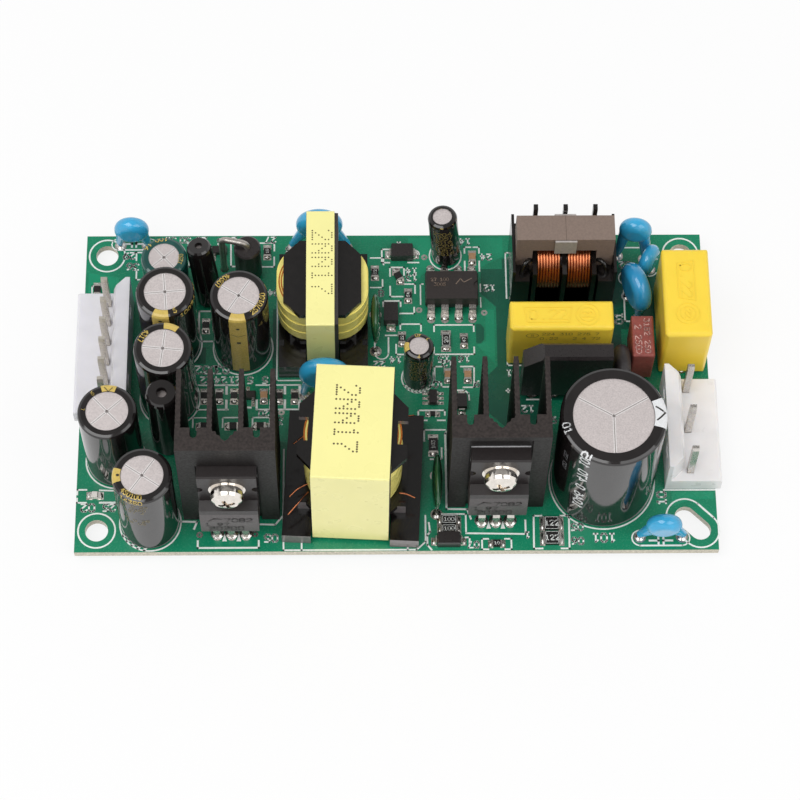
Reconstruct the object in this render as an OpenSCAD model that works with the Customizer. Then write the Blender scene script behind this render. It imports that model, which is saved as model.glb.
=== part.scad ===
// Open frame AC-DC power supply: a populated circuit board with its two
// headers, line filter, rectifier, bulk capacitor, two transformers, two
// finned heatsinks and output filter.
// +X runs along the board to the AC input header, +Y to the back edge, +Z up.
// The origin is under the board's centre, at the tips of the trimmed leads.
// Component places are [x, y] from the board's centre; heights are from its top.

/* [Board] */
// Board length, left to right
board_w = 114.3; // [112:0.1:124]
// Board depth, front to back
board_d = 63.5; // [63:0.1:72]
// Board thickness
board_t = 1.6; // [1:0.1:2.4]
// Length of the leads left below the board
tail = 1.8; // [1.4:0.1:3]
// Radius of the round mounting holes
mount_r = 2.05; // [1.6:0.05:2.3]
// Distance of the mounting holes from the short edges
mount_inset_x = 3.85; // [3.5:0.05:4.2]
// Distance of the mounting holes from the long edges
mount_inset_y = 4.15; // [3.5:0.05:4.4]
// Half width of the slotted mounting hole
slot_r = 1.9; // [1.6:0.05:2.1]
// Travel of a screw along the slotted hole
slot_travel = 3.6; // [2:0.1:4.2]
// Slot centre's distance from the right and front edges
slot_inset = [4.4, 5.1]; // [4:0.1:6]
// Gap between a lead and the wall of its hole
hole_gap = 0.15; // [0.1:0.05:0.25]
// Radius of a solder fillet where it meets the board
solder_r = 0.95; // [0.8:0.05:1.1]

/* [Headers] */
// Pitch of the header positions
header_pitch = 3.96; // [3.8:0.01:4.1]
// Side of the square header pins
header_pin = 1.14; // [0.9:0.02:1.3]
// Height of the pin tips
header_pin_top = 13.6; // [11:0.1:15]
// Width of a header across its pins
header_w = 10; // [9.4:0.1:11]
// Height of the header's base
header_base_h = 3.5; // [2.5:0.1:4.5]
// Height of the latch wall
header_wall_h = 10; // [8:0.1:12]
// Thickness of the latch wall
header_wall_t = 2.9; // [2:0.1:3.2]
// Distance from the pin row to the header's outer side
header_pin_inset = 5.65; // [5:0.05:6]
// Plastic beyond the first and last position
header_end = 2.15; // [1.8:0.05:2.4]
// How far each header stands out past the board's short edge
header_overhang = 0.9; // [0.2:0.1:1.5]
// Middle of the input header along Y
input_header_y = -9.95; // [-10.2:0.05:-9.5]
// Middle of the output header along Y
output_header_y = 5.9; // [5.6:0.05:6.4]

/* [Electrolytic capacitors] */
// Bulk capacitor can radius
bulk_r = 9; // [8:0.1:9.4]
// Bulk capacitor can top
bulk_h = 27.6; // [20:0.1:32]
// Distance of the bulk capacitor's middle from the switch heatsink's right edge
bulk_gap = 10.7; // [9:0.1:12]
// Bulk capacitor's place along Y
bulk_y = -18.3; // [-20:0.1:-16]
// Output capacitor can radius
out_r = 5; // [4.5:0.1:5.1]
// Output capacitor can top
out_h = 21; // [16:0.1:25]
// Bypass capacitor can radius
mid_r = 4; // [3:0.1:4.2]
// Bypass capacitor can top
mid_h = 13.8; // [11:0.1:16]
// Bypass capacitor place
mid_pos = [-41.7, 19.9]; // [-45:0.1:45]
// Supply capacitor can radius
small_r = 2.5; // [2:0.1:2.7]
// Supply capacitor can top
small_h = 13.2; // [10:0.1:14]
// Lean of the supply capacitor at the back edge, to the left and backwards
small_lean = 6.4; // [2:0.2:8]
// Thickness of the printed shrink sleeve
sleeve_t = 0.15; // [0.1:0.01:0.25]
// Gap between sleeve and can
film_gap = 0.03; // [0.02:0.01:0.06]

/* [Heatsinks] */
// Heatsink plate width
sink_w = 17; // [16:0.1:17.6]
// Heatsink height
sink_h = 30; // [24:0.1:34]
// Heatsink plate thickness
sink_plate = 4.3; // [3.5:0.1:5]
// Length of the fins behind the plate
sink_fin = 11; // [8:0.1:11.4]
// Fin thickness between its ribs
fin_t = 0.75; // [0.6:0.05:1.2]
// Number of fins
fin_n = 4; // [3:1:5]
// Height of the ribs along a fin
rib_h = 0.12; // [0.05:0.01:0.2]
// Pitch of the ribs along a fin
rib_pitch = 0.92; // [0.7:0.02:1.4]
// Depth of the seat milled for the power device
seat_depth = 0.7; // [0.4:0.1:1]
// Left edge of the switch heatsink's front face
switch_sink_edge = [9.1, -23.4]; // [-30:0.1:30]
// Right edge of the rectifier heatsink's front face
rect_sink_edge = [-20.8, -25.6]; // [-30:0.1:30]
// Top of the seat in the switch heatsink
switch_seat_top = 28.7; // [26:0.1:29]
// Top of the seat in the rectifier heatsink
rect_seat_top = 23.8; // [23.6:0.1:27]

/* [Power devices] */
// Width of the moulded body
dev_w = 10.2; // [9.6:0.1:10.6]
// Height of the whole body
dev_h = 18.9; // [17:0.1:19]
// Height of its thick lower part
dev_low_h = 9; // [8:0.1:10]
// Thickness of the lower part
dev_t = 4.6; // [4:0.1:5]
// Thickness of the upper part
dev_top_t = 2.7; // [2:0.1:3]
// Height of the switching transistor's lower edge
switch_dev_z = 6.2; // [5.6:0.1:7]
// Height of the rectifier diode's lower edge
rect_dev_z = 4.7; // [4.4:0.1:5]
// Distance of the screw from the body's upper edge
dev_hole_drop = 3.9; // [3.6:0.1:4.2]
// Pitch of the leads
dev_pitch = 2.54; // [2.4:0.01:2.7]
// Thickness of the insulating pad
pad_t = 0.25; // [0.15:0.05:0.4]
// Clamp screw radius
screw_r = 1.5; // [1.2:0.05:1.6]
// Clamp screw length
screw_l = 6; // [5:0.5:8]
// Clamp screw head radius
screw_head_r = 2.85; // [2.5:0.05:3]
// Clamp screw head height
screw_head_h = 2.1; // [1.8:0.1:2.4]
// Clamp washer radius
washer_r = 3.2; // [3:0.05:3.4]

/* [Main transformer] */
// Core length along Y
main_core_l = 20.6; // [20:0.1:21]
// Core width along X
main_core_w = 13.6; // [13:0.1:14.2]
// Height of the closed core
main_core_h = 26; // [22:0.1:28]
// Thickness of the core's end plates
main_plate_t = 3.4; // [3:0.1:4]
// Radius of the core's centre post
main_post_r = 4.4; // [4:0.1:4.8]
// Radius of the winding window
main_window_r = 9; // [8.8:0.1:9.4]
// Height of the core's underside
main_z = 1.4; // [1:0.1:2]
// Distance from the core's middle to a pin rail's outer face
main_rail_x = 12.1; // [11.6:0.1:12.2]
// Turn of the transformer about its own axis
main_turn = -2.9; // [-3.5:0.1:0]
// Main transformer place
main_pos = [-7.7, -19.2]; // [-25:0.1:25]
// Length of the bobbin's pin rails
main_rail_l = 24.4; // [23:0.1:25]
// Width of the bobbin's flanges
main_flange_w = 18.8; // [18:0.1:19]
// Depth of the bobbin's flanges
main_flange_d = 16; // [15:0.1:17]
// Radius of the winding
main_coil_r = 8.7; // [8:0.1:8.8]

/* [Auxiliary transformer] */
// Core length along Y
aux_core_l = 22.3; // [21:0.1:23]
// Core width along X
aux_core_w = 5.7; // [5:0.1:6]
// Height of the closed core
aux_core_h = 18.8; // [17:0.1:20]
// Thickness of the core's yokes and outer legs
aux_leg_t = 3.6; // [3:0.1:3.8]
// Width of the centre leg
aux_mid_leg = 5.6; // [5:0.1:6]
// Height of the core's underside
aux_z = 2; // [1.6:0.1:2.4]
// Auxiliary transformer place
aux_pos = [-13.1, 13.9]; // [-25:0.1:25]
// Width of the taped winding along X
aux_coil_w = 16; // [14:0.1:16.4]
// Depth of the taped winding along Y
aux_coil_d = 14.4; // [13:0.1:14.8]

/* [Line choke] */
// Core width along X
choke_core_w = 17.6; // [17:0.1:18.4]
// Core depth along Y
choke_core_d = 5; // [4.6:0.1:5.2]
// Height of the core's top
choke_core_top = 19.4; // [17:0.1:21]
// Thickness of the bare upper leg
choke_leg_t = 4; // [3.6:0.1:4.4]
// Height of the winding axis
choke_axis_z = 7.6; // [7.2:0.1:8]
// Radius of the windings
choke_coil_r = 5.4; // [5:0.1:5.7]
// Wire turns seen in each winding
choke_turns = 8; // [6:1:10]
// Line choke place
choke_pos = [30.6, 22.7]; // [-35:0.1:35]
// Height of the bobbin's three hooks above the core
choke_hook = 1.1; // [0.4:0.1:1.6]
// Width of the earthing band round the bare leg
choke_band_w = 3.9; // [3:0.1:5]

/* [Filter parts] */
// Size of the X capacitor behind the rectifier
xcap1_size = [18.6, 5.8, 15]; // [5:0.1:20]
// Place of the X capacitor behind the rectifier
xcap1_pos = [29.6, 7.5]; // [-35:0.1:35]
// Size of the X capacitor behind the input header
xcap2_size = [8.5, 17.5, 15.8]; // [5:0.1:20]
// Place of the X capacitor behind the input header
xcap2_pos = [52.1, 11.6]; // [-55:0.1:55]
// Size of the bridge rectifier
bridge_size = [15.8, 3.4, 14.8]; // [3:0.1:17]
// Place of the bridge rectifier
bridge_pos = [30.5, -0.6]; // [-35:0.1:35]
// Size of the fuse
fuse_size = [4, 8.2, 9]; // [3.6:0.1:10]
// Place of the fuse
fuse_pos = [44.4, 5.3]; // [-50:0.1:50]
// Radius of the inrush thermistor
ntc_r = 4.7; // [4.2:0.1:5]
// Thickness of the inrush thermistor
ntc_t = 2.8; // [2.4:0.1:3]
// Place of the inrush thermistor
ntc_pos = [40.6, 0.2]; // [-45:0.1:45]

/* [Dipped parts] */
// Radius of the small disc capacitors
disc_r = 3.2; // [2.8:0.1:3.4]
// Thickness of the disc capacitors
disc_t = 3; // [2.4:0.1:3.2]
// Radius of the disc capacitor between the transformers
big_disc_r = 4.6; // [4:0.1:4.8]
// Radius of the disc capacitor behind the auxiliary transformer
back_disc_r = 4.3; // [4:0.1:4.8]
// Radius of the two line capacitors beside the choke
line_disc_r = 3; // [2.6:0.1:3.1]
// Radius of the varistor
varistor_r = 4.6; // [4.2:0.1:4.8]
// Thickness of the varistor
varistor_t = 3.4; // [3:0.1:3.6]
// Radius of the coating on the legs of dipped parts
leg_r = 0.7; // [0.6:0.05:0.8]
// Length of the dipped film capacitors
film_l = 8.6; // [8:0.1:10]
// Thickness of the dipped film capacitors
film_t = 2.2; // [1.8:0.1:2.4]
// Top of the dipped film capacitors
film_top = 10.2; // [9:0.1:11]

/* [Output chokes and diode] */
// Radius of the tall rod choke's ferrite
rod1_r = 1.9; // [1.6:0.05:2]
// Height of the tall rod choke
rod1_h = 21; // [18:0.1:23]
// Distance of the tall rod choke's middle from the rectifier heatsink's left edge
rod1_gap = 3.1; // [3:0.1:4]
// Tall rod choke's place along Y
rod1_y = -10.4; // [-11:0.1:-9.5]
// Radius of the short rod choke's ferrite
rod2_r = 1.35; // [1.1:0.05:1.5]
// Height of the short rod choke
rod2_h = 15.5; // [13:0.1:17]
// Lean of the short rod choke towards the back
rod2_lean = 12; // [0:1:14]
// Place of the short rod choke's foot
rod2_pos = [-33.9, 18.4]; // [-40:0.1:40]
// Radius of the upright diode's body
diode_r = 2.45; // [2.2:0.05:2.6]
// Length of the upright diode's body
diode_l = 9.4; // [8.5:0.1:10]
// Radius of the bends in its long lead
diode_bend = 1.1; // [0.9:0.1:1.6]
// Radius of its lead
diode_lead_r = 0.6; // [0.4:0.05:0.65]
// Place of the upright diode
diode_pos = [-26.9, 23.8]; // [-35:0.1:35]
// Place where its long lead enters the board
diode_foot = [-31.5, 24.8]; // [-35:0.1:35]

/* [Control] */
// Controller body length
ic_l = 9.8; // [9.4:0.1:10]
// Controller body width
ic_w = 6.3; // [6:0.1:6.6]
// Controller body height
ic_h = 3.4; // [3:0.1:3.8]
// Controller place
ic_pos = [10.5, 19.4]; // [-20:0.1:20]

/* [Hidden] */

eps = 0.01;
fn_big = 64;
fn_mid = 40;
fn_small = 24;
top = tail + board_t;              // height of the board's upper face
fit = 0.05;                        // clearance between mating pieces
seat_gap = 0.1;                    // clearance under parts that sit on the board

// Middles of the heatsinks' front faces, and the parts that stand beside them
switch_sink_pos = [switch_sink_edge.x + sink_w / 2, switch_sink_edge.y];
rect_sink_pos = [rect_sink_edge.x - sink_w / 2, rect_sink_edge.y];
bulk_pos = [switch_sink_edge.x + sink_w + bulk_gap, bulk_y];
rod1_pos = [rect_sink_edge.x - sink_w - rod1_gap, rod1_y];

// Places of the electrolytic capacitors; the last small one leans
OUT_CAPS = [[-40.8, 9.2], [-40.9, -1.9], [-27.8, 8.4], [rod1_pos.x - 9.3, -14],
    [rect_sink_edge.x - sink_w - out_r - 1, -26.1]];
SMALL_CAPS = [[4.1, 2.2]];
LEANING_CAP = [9.7, 27.2];
bulk_pitch = 7.5;
out_pitch = 5;
mid_pitch = 3.5;
small_pitch = 2;
can_stand = 0.5;                   // height of a can's rolled lower edge
can_wall = 0.4;
score_w = 0.3;
score_d = 0.15;
cap_lead_r = 0.3;
bulk_lead_r = 0.4;

// Dipped discs: [place, radius, thickness, height of centre, turn, lean, lead pitch]
DISCS = [
    [[-48.4, 29.7], disc_r, disc_t, 6.3, 0, 0, 5],
    [[-13.8, 29.2], back_disc_r, disc_t, 9, 0, 0, 10],
    [[-12.8, -1.2], big_disc_r, disc_t, 9.2, 0, 0, 7.5],
    [[44, 26.9], line_disc_r, disc_t, 10.8, -8, 0, 5],
    [[46.6, 22.9], line_disc_r, disc_t - 0.4, 6.6, 62, 0, 3.5],
    [[46.9, -29.3], disc_r, disc_t, 6.3, 0, 4, 7.5]
];
VARISTOR = [[43.9, 16.5], varistor_r, varistor_t, 8.2, -70, 0, 5];
// Dipped film capacitors: [place, length, lead pitch]
FILMS = [[[-3.55, 11.4], film_l, 7.5], [[7.1, -21], film_l + 1.2, 7.5]];
disc_lead_r = 0.3;

// Chip parts: [place, turn, length, width]
s0603 = [1.6, 0.8];
s0805 = [2, 1.25];
s1206 = [3.2, 1.6];
s1210 = [3.2, 2.5];
chip_h = 0.55;
RESISTORS = [
    [[-23.6, 28.2], 90, s0805], [[-34.7, 12.9], 90, s0805], [[-54.9, 20.4], 90, s0805],
    [[-34.7, -1.4], 90, s0805], [[-32, -1.4], 90, s0805], [[-29.3, -1.4], 90, s0805],
    [[-21.15, -1.5], 90, s0805], [[-18.3, -1.5], 90, s0805],
    [[-34.6, -7.4], 0, s0805], [[-29.4, -7.4], 0, s0805], [[-24.5, -7.4], 0, s0805],
    [[-3.6, 23.8], 90, s0805], [[0.7, 23.1], 118, s0805], [[2.5, 19], 90, s0805],
    [[1.3, 10.1], 90, s0805], [[9.35, 9.7], 90, s1206], [[12.65, 9.7], 90, s0805],
    [[6.7, -5.1], 0, s0603], [[6.7, -11.3], 90, s1206],
    [[9.3, -25.9], 0, s1206], [[9.3, -27.7], 0, s1206], [[17.7, -30.5], 0, s0805],
    [[27.55, -26.7], 0, s1210], [[27.55, -29.5], 0, s1210]
];
CERAMICS = [
    [[-23.9, -1.4], 90, s0805], [[14.5, 26.9], 90, s0805],
    [[9.6, 2.6], 90, s0805], [[13.2, 2.6], 90, s0805]
];
LED = [[-53.8, -20.9], 0, s0805];
// Moulded surface-mount packages: [place, turn, length, width, height]
SMAS = [
    [[1.45, 27.6], 0, 4.2, 2.6, 2.1], [[-0.7, 14.8], 90, 4.2, 2.6, 2.1],
    [[9.2, -30], 0, 4.2, 2.2, 2.1], [[12, -2.8], 90, 3, 1.8, 1.2]
];
SOTS = [[[-32.5, 28.4], 0, 3], [[-26.8, -1.4], 0, 3], [[6.8, -1.9], 90, 6]];

dev_lead_r = 0.72;                 // holes pass the flat leads' corners
peg_r = 0.7;
bobbin_pin_r = 0.35;
bridge_lead_r = 0.5;
rod_lead_r = 0.35;

// ---------------------------------------------------------------- helpers

function turned(p, a) = [p.x * cos(a) - p.y * sin(a), p.x * sin(a) + p.y * cos(a)];
function pair(p, pitch, a = 0) = [for (s = [-1, 1]) p + turned([s * pitch / 2, 0], a)];

// Stands its children on the board at place p, turned by a
module on_board(p, z = 0, a = 0) translate([p.x, p.y, top + z]) rotate(a) children();

// Rectangle with round corners, centred
module round_rect(w, d, r) {
    square([w - 2 * r, d], center = true);
    square([w, d - 2 * r], center = true);
    for (x = [-1, 1], y = [-1, 1])
        translate([x * (w / 2 - r), y * (d / 2 - r)]) circle(r, $fn = fn_small);
}

// Box with every edge rounded, standing on z = 0
module soft_box(s, r) translate([0, 0, s.z / 2]) intersection() {
    translate([0, 0, -s.z / 2]) linear_extrude(s.z) round_rect(s.x, s.y, r);
    rotate([90, 0, 0]) translate([0, 0, -s.y / 2]) linear_extrude(s.y) round_rect(s.x, s.z, r);
    rotate([90, 0, 90]) translate([0, 0, -s.x / 2]) linear_extrude(s.x) round_rect(s.y, s.z, r);
}

// Plate in the YZ plane, thickness t along X, from a profile drawn as (y, z)
module across_x(t) rotate([90, 0, 90]) translate([0, 0, -t / 2]) linear_extrude(t) children();

// Plate in the XZ plane, thickness t along Y, from a profile drawn as (x, z)
module across_y(t) rotate([90, 0, 0]) translate([0, 0, -t / 2]) linear_extrude(t) children();

// Straight round lead from height z down to the trimmed tail
module lead(r, z) translate([0, 0, -top]) cylinder(r = r, h = top + z, $fn = fn_small);

// ------------------------------------------------- where every lead passes

function input_pin_x() = board_w / 2 + header_overhang - header_pin_inset;
function input_pins() = [for (i = [-2, 0, 2]) [input_pin_x(), input_header_y + i * header_pitch]];
function output_pins() = [for (i = [0:5])
    [-input_pin_x(), output_header_y + (i - 2.5) * header_pitch]];
function dev_lead_y(p) = p.y - pad_t - 2.9;
function dev_leads(p) = [for (i = [-1, 0, 1]) [p.x + i * dev_pitch, dev_lead_y(p)]];
peg_x = 4;                         // pegs stand in the plate, beside the valley
function peg_places(p) = [for (s = [-1, 1]) [p.x + s * peg_x, p.y + sink_plate / 2]];
main_pin_x = main_rail_x - 1.4;
main_pin_pitch = 4.2;
function main_pins() = [for (s = [-1, 1], i = [-2:2])
    main_pos + turned([s * main_pin_x, 0.8 + i * main_pin_pitch], main_turn)];
aux_rail_x = 8.1;
aux_pin_x = aux_rail_x - 1.2;
aux_pin_pitch = 4.4;
function aux_pins() = [for (s = [-1, 1], i = [-2:2]) aux_pos + [s * aux_pin_x, i * aux_pin_pitch]];
choke_end_x = 9.4;
function choke_pins() = [for (s = [-1, 1], y = [-4.2, 4.2])
    choke_pos + [s * (choke_end_x - 1), y]];
xcap1_pitch = 15;
xcap2_pitch = 15;
bridge_pitch = 3.8;
function bridge_leads() = [for (i = [-1.5:1:1.5]) bridge_pos + [i * bridge_pitch, 0]];
fuse_pitch = 5.08;
ntc_pitch = 5;
function rod_leads(p) = pair(p, 2);
ic_pitch = 2.54;

sq = sqrt(2) / 2;                  // half diagonal of a unit square

// Every lead hole: [place, radius of the lead]
LEAD_HOLES = concat(
    [for (p = concat(input_pins(), output_pins())) [p, header_pin * sq]],
    [for (p = pair(bulk_pos, bulk_pitch)) [p, bulk_lead_r]],
    [for (c = OUT_CAPS, p = pair(c, out_pitch, 90)) [p, cap_lead_r]],
    [for (p = pair(mid_pos, mid_pitch)) [p, cap_lead_r]],
    [for (c = concat(SMALL_CAPS, [LEANING_CAP]), p = pair(c, small_pitch)) [p, cap_lead_r]],
    [for (p = concat(dev_leads(switch_sink_pos), dev_leads(rect_sink_pos))) [p, dev_lead_r]],
    [for (p = concat(peg_places(switch_sink_pos), peg_places(rect_sink_pos))) [p, peg_r]],
    [for (p = main_pins()) [p, bobbin_pin_r]],
    [for (p = aux_pins()) [p, bobbin_pin_r]],
    [for (p = choke_pins()) [p, bobbin_pin_r]],
    [for (p = pair(xcap1_pos, xcap1_pitch)) [p, bulk_lead_r]],
    [for (p = pair(xcap2_pos, xcap2_pitch, 90)) [p, bulk_lead_r]],
    [for (p = bridge_leads()) [p, bridge_lead_r]],
    [for (p = pair(fuse_pos, fuse_pitch, 90)) [p, disc_lead_r]],
    [for (p = pair(ntc_pos, ntc_pitch, 90)) [p, bulk_lead_r]],
    [for (d = concat(DISCS, [VARISTOR]), p = pair(d[0], d[6], d[4])) [p, disc_lead_r]],
    [for (d = FILMS, p = pair(d[0], d[2], 90)) [p, disc_lead_r]],
    [for (p = concat(rod_leads(rod1_pos), rod_leads(rod2_pos))) [p, rod_lead_r]],
    [for (p = [diode_pos, diode_foot]) [p, diode_lead_r]]
);

// --------------------------------------------------------------- the board

module circuit_board() color("seagreen") difference() {
    translate([-board_w / 2, -board_d / 2, tail]) cube([board_w, board_d, board_t]);
    for (p = mount_holes()) translate([p.x, p.y, tail - eps])
        cylinder(r = mount_r, h = board_t + 2 * eps, $fn = fn_big);
    translate([board_w / 2 - slot_inset.x, -board_d / 2 + slot_inset.y, tail - eps])
        rotate(-45) linear_extrude(board_t + 2 * eps) {
            square([slot_travel, 2 * slot_r], center = true);
            for (s = [-1, 1]) translate([s * slot_travel / 2, 0]) circle(slot_r, $fn = fn_mid);
        }
    for (h = LEAD_HOLES) translate([h[0].x, h[0].y, tail - eps])
        cylinder(r = h[1] + hole_gap, h = board_t + 2 * eps, $fn = fn_small);
}

function mount_holes() = let (x = board_w / 2 - mount_inset_x, y = board_d / 2 - mount_inset_y)
    [[-x, y], [-x, -y], [x, y]];

// Concave solder fillets round the tails, below the board
module solder_joints() color("silver") {
    rise = tail * 0.72;
    for (h = LEAD_HOLES) translate([h[0].x, h[0].y, tail])
        rotate_extrude($fn = fn_small) polygon([
            [h[1] + 0.03, 0], [max(solder_r, h[1] + 0.5), 0],
            [h[1] + 0.32, -rise * 0.35], [h[1] + 0.15, -rise], [h[1] + 0.03, -rise]]);
}

// ----------------------------------------------------------------- headers

// Side view: base with a latch wall and its inward lip, drawn as (x, z)
// from the pin row towards the latch wall on the board's side.
module header_body(n, key_side) {
    l = (n - 1) * header_pitch + 2 * header_end;
    in = header_w - header_pin_inset;          // from the pin row to the latch wall's back
    difference() {
        across_y(l) polygon([
            [-header_pin_inset, seat_gap], [in, seat_gap], [in, header_wall_h],
            [in - header_wall_t + 0.5, header_wall_h], [in - header_wall_t, header_wall_h - 1],
            [in - header_wall_t, header_base_h], [-header_pin_inset + 0.4, header_base_h],
            [-header_pin_inset, header_base_h - 0.4]]);
        // wall ends bevelled on the pin side
        for (s = [-1, 1]) translate([in - header_wall_t, s * l / 2, header_base_h])
            rotate(45) translate([-1.5, -1.5, 0]) cube([3, 3, header_wall_h]);
        // slots under the base, between its feet
        for (i = [0:n - 2]) translate([0, (i - (n - 2) / 2) * header_pitch, -eps])
            translate([-header_pin_inset - 1, -0.9, 0]) cube([header_w - header_wall_t, 1.8, 1]);
        // one square hole for each position
        for (i = [0:key_side:n - 1])
            translate([0, (i - (n - 1) / 2) * header_pitch, 0]) translate([0, 0, header_base_h / 2])
                cube([header_pin + 2 * fit, header_pin + 2 * fit, header_base_h + 1], center = true);
        // windows in the latch wall that the plug's hooks snap into
        for (s = [-1, 1]) translate([in - header_wall_t / 2, s * l * 0.28, header_base_h + 3.4])
            cube([header_wall_t + 1, 2.6, 2.2], center = true);
    }
}

// Square post with a chisel tip
module header_post() {
    p = header_pin;
    translate([-p / 2, -p / 2, -top]) cube([p, p, top + header_pin_top - 0.7]);
    translate([0, 0, header_pin_top - 0.7]) across_x(p)
        polygon([[-p / 2, 0], [p / 2, 0], [p / 4, 0.7], [-p / 4, 0.7]]);
}

module input_header() color("whitesmoke")
    on_board([input_pin_x(), input_header_y]) mirror([1, 0, 0]) header_body(5, 2);

module input_header_pins() color("silver") for (p = input_pins()) on_board(p) header_post();

module output_header() color("whitesmoke")
    on_board([-input_pin_x(), output_header_y]) header_body(6, 1);

module output_header_pins() color("silver") for (p = output_pins()) on_board(p) header_post();

// -------------------------------------------------- electrolytic capacitors

// Impact-extruded can: rolled lower edge, sealing groove, scored vent
module can(r, h, arms) {
    groove = can_stand + 2.2;
    difference() {
        rotate_extrude($fn = fn_big) polygon([
            [0, can_stand + 1.6], [r - can_wall, can_stand + 1.6],
            [r - can_wall, can_stand], [r, can_stand], [r, groove - 0.4], [r - 0.35, groove],
            [r, groove + 0.4], [r, h - 0.5], [r - 0.15, h - 0.15], [r - 0.5, h], [0, h]]);
        if (arms > 0) for (i = [0:arms - 1]) rotate(360 / arms * i + 30)
            translate([-score_w / 2, 0, h - score_d]) cube([score_w, r * 0.74, 1]);
    }
}

// Shrink sleeve drawn over the can's shoulder and under its lower edge
module sleeve(r, h, lip) {
    i = r + film_gap;
    o = i + sleeve_t;
    rotate_extrude($fn = fn_big) polygon([
        [i, can_stand + 0.2], [o, can_stand + 0.2], [o, h - 0.45],
        [o - 0.18, h - 0.02], [o - 0.6, h + film_gap + sleeve_t],
        [lip, h + film_gap + sleeve_t], [lip, h + film_gap], [r - 0.5, h + film_gap],
        [r - 0.15 + film_gap, h - 0.15 + film_gap], [i, h - 0.5]]);
}

// Rubber bung that closes a can, standing on the board
module seal(r, pitch, lead_r, a) difference() {
    union() {
        translate([0, 0, can_stand]) cylinder(r = r - can_wall - fit, h = 1.6 - fit, $fn = fn_mid);
        translate([0, 0, seat_gap]) cylinder(r = r - 1.1, h = can_stand, $fn = fn_mid);
    }
    for (p = pair([0, 0], pitch, a)) translate([p.x, p.y, -eps])
        cylinder(r = lead_r + fit, h = 3, $fn = fn_small);
}

module bulk_capacitor_can() color("gainsboro") on_board(bulk_pos) can(bulk_r, bulk_h, 3);
module bulk_capacitor_sleeve() color("black") on_board(bulk_pos) sleeve(bulk_r, bulk_h, bulk_r - 2);
module output_capacitor_cans() color("gainsboro") for (p = OUT_CAPS) on_board(p) can(out_r, out_h, 4);
module output_capacitor_sleeves() color("black") for (p = OUT_CAPS)
    on_board(p) sleeve(out_r, out_h, out_r - 1.3);
lean_dir = 135;                    // it leans along this heading
lean_bend = 3;                     // bend radius of its leads, just above the board
// Carries its children from the board round the bend of a lead that stands at p
module leaned(p) on_board(p, 0, lean_dir) translate([lean_bend, 0, 0]) rotate([0, small_lean, 0])
    translate([-lean_bend, 0, 0]) rotate(-lean_dir) children();
module small_capacitor_cans() color("gainsboro") {
    on_board(mid_pos) can(mid_r, mid_h, 4);
    for (p = SMALL_CAPS) on_board(p) can(small_r, small_h, 0);
    leaned(LEANING_CAP) can(small_r, small_h, 0);
}
module small_capacitor_sleeves() color("darkslategray") {
    on_board(mid_pos) sleeve(mid_r, mid_h, mid_r - 1.2);
    for (p = SMALL_CAPS) on_board(p) sleeve(small_r, small_h, small_r - 0.75);
    leaned(LEANING_CAP) sleeve(small_r, small_h, small_r - 0.75);
}
module capacitor_seals() color("dimgray") {
    on_board(bulk_pos) seal(bulk_r, bulk_pitch, bulk_lead_r, 0);
    for (p = OUT_CAPS) on_board(p) seal(out_r, out_pitch, cap_lead_r, 90);
    on_board(mid_pos) seal(mid_r, mid_pitch, cap_lead_r, 0);
    for (p = SMALL_CAPS) on_board(p) seal(small_r, small_pitch, cap_lead_r, 0);
    leaned(LEANING_CAP) seal(small_r, small_pitch, cap_lead_r, 0);
}
module capacitor_leads() color("silver") {
    z = can_stand + 1.6 - fit;
    for (p = pair(bulk_pos, bulk_pitch)) on_board(p) lead(bulk_lead_r, z);
    for (c = OUT_CAPS, p = pair(c, out_pitch, 90)) on_board(p) lead(cap_lead_r, z);
    for (p = pair(mid_pos, mid_pitch)) on_board(p) lead(cap_lead_r, z);
    for (c = SMALL_CAPS, p = pair(c, small_pitch)) on_board(p) lead(cap_lead_r, z);
    // the leaning capacitor's leads bend where they leave the board
    for (p = pair(LEANING_CAP, small_pitch)) {
        on_board(p) lead(cap_lead_r, 0);
        on_board(p, 0, lean_dir) translate([lean_bend, 0, 0]) rotate([90, 0, 0])
            rotate(180 - small_lean) rotate_extrude(angle = small_lean, $fn = fn_mid)
                translate([lean_bend, 0]) circle(cap_lead_r, $fn = fn_small);
        leaned(p) cylinder(r = cap_lead_r, h = z - 2 * fit, $fn = fn_small);
    }
}

// ------------------------------------------------ heatsinks, power devices

function dev_z(p) = p.x > 0 ? switch_dev_z : rect_dev_z;
function seat_top(p) = p.x > 0 ? switch_seat_top : rect_seat_top;
function dev_hole_z(p) = dev_z(p) + dev_h - dev_hole_drop;
seat_w = dev_w + 0.6;
fin_pitch = (sink_w - fin_t - 2 * rib_h) / (fin_n - 1);

// One fin with saw-tooth ribs along both faces, from the plate backwards
module fin() {
    n = floor(sink_fin / rib_pitch);
    edge = [for (k = [0:n - 1], h = [0, 1]) [fin_t / 2 + h * rib_h, (k + h * 0.5) * rib_pitch]];
    tip = [[fin_t / 2, sink_fin], [-fin_t / 2, sink_fin]];
    polygon(concat(edge, tip, [for (i = [2 * n - 1:-1:0]) [-edge[i].x, edge[i].y]]));
}

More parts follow.
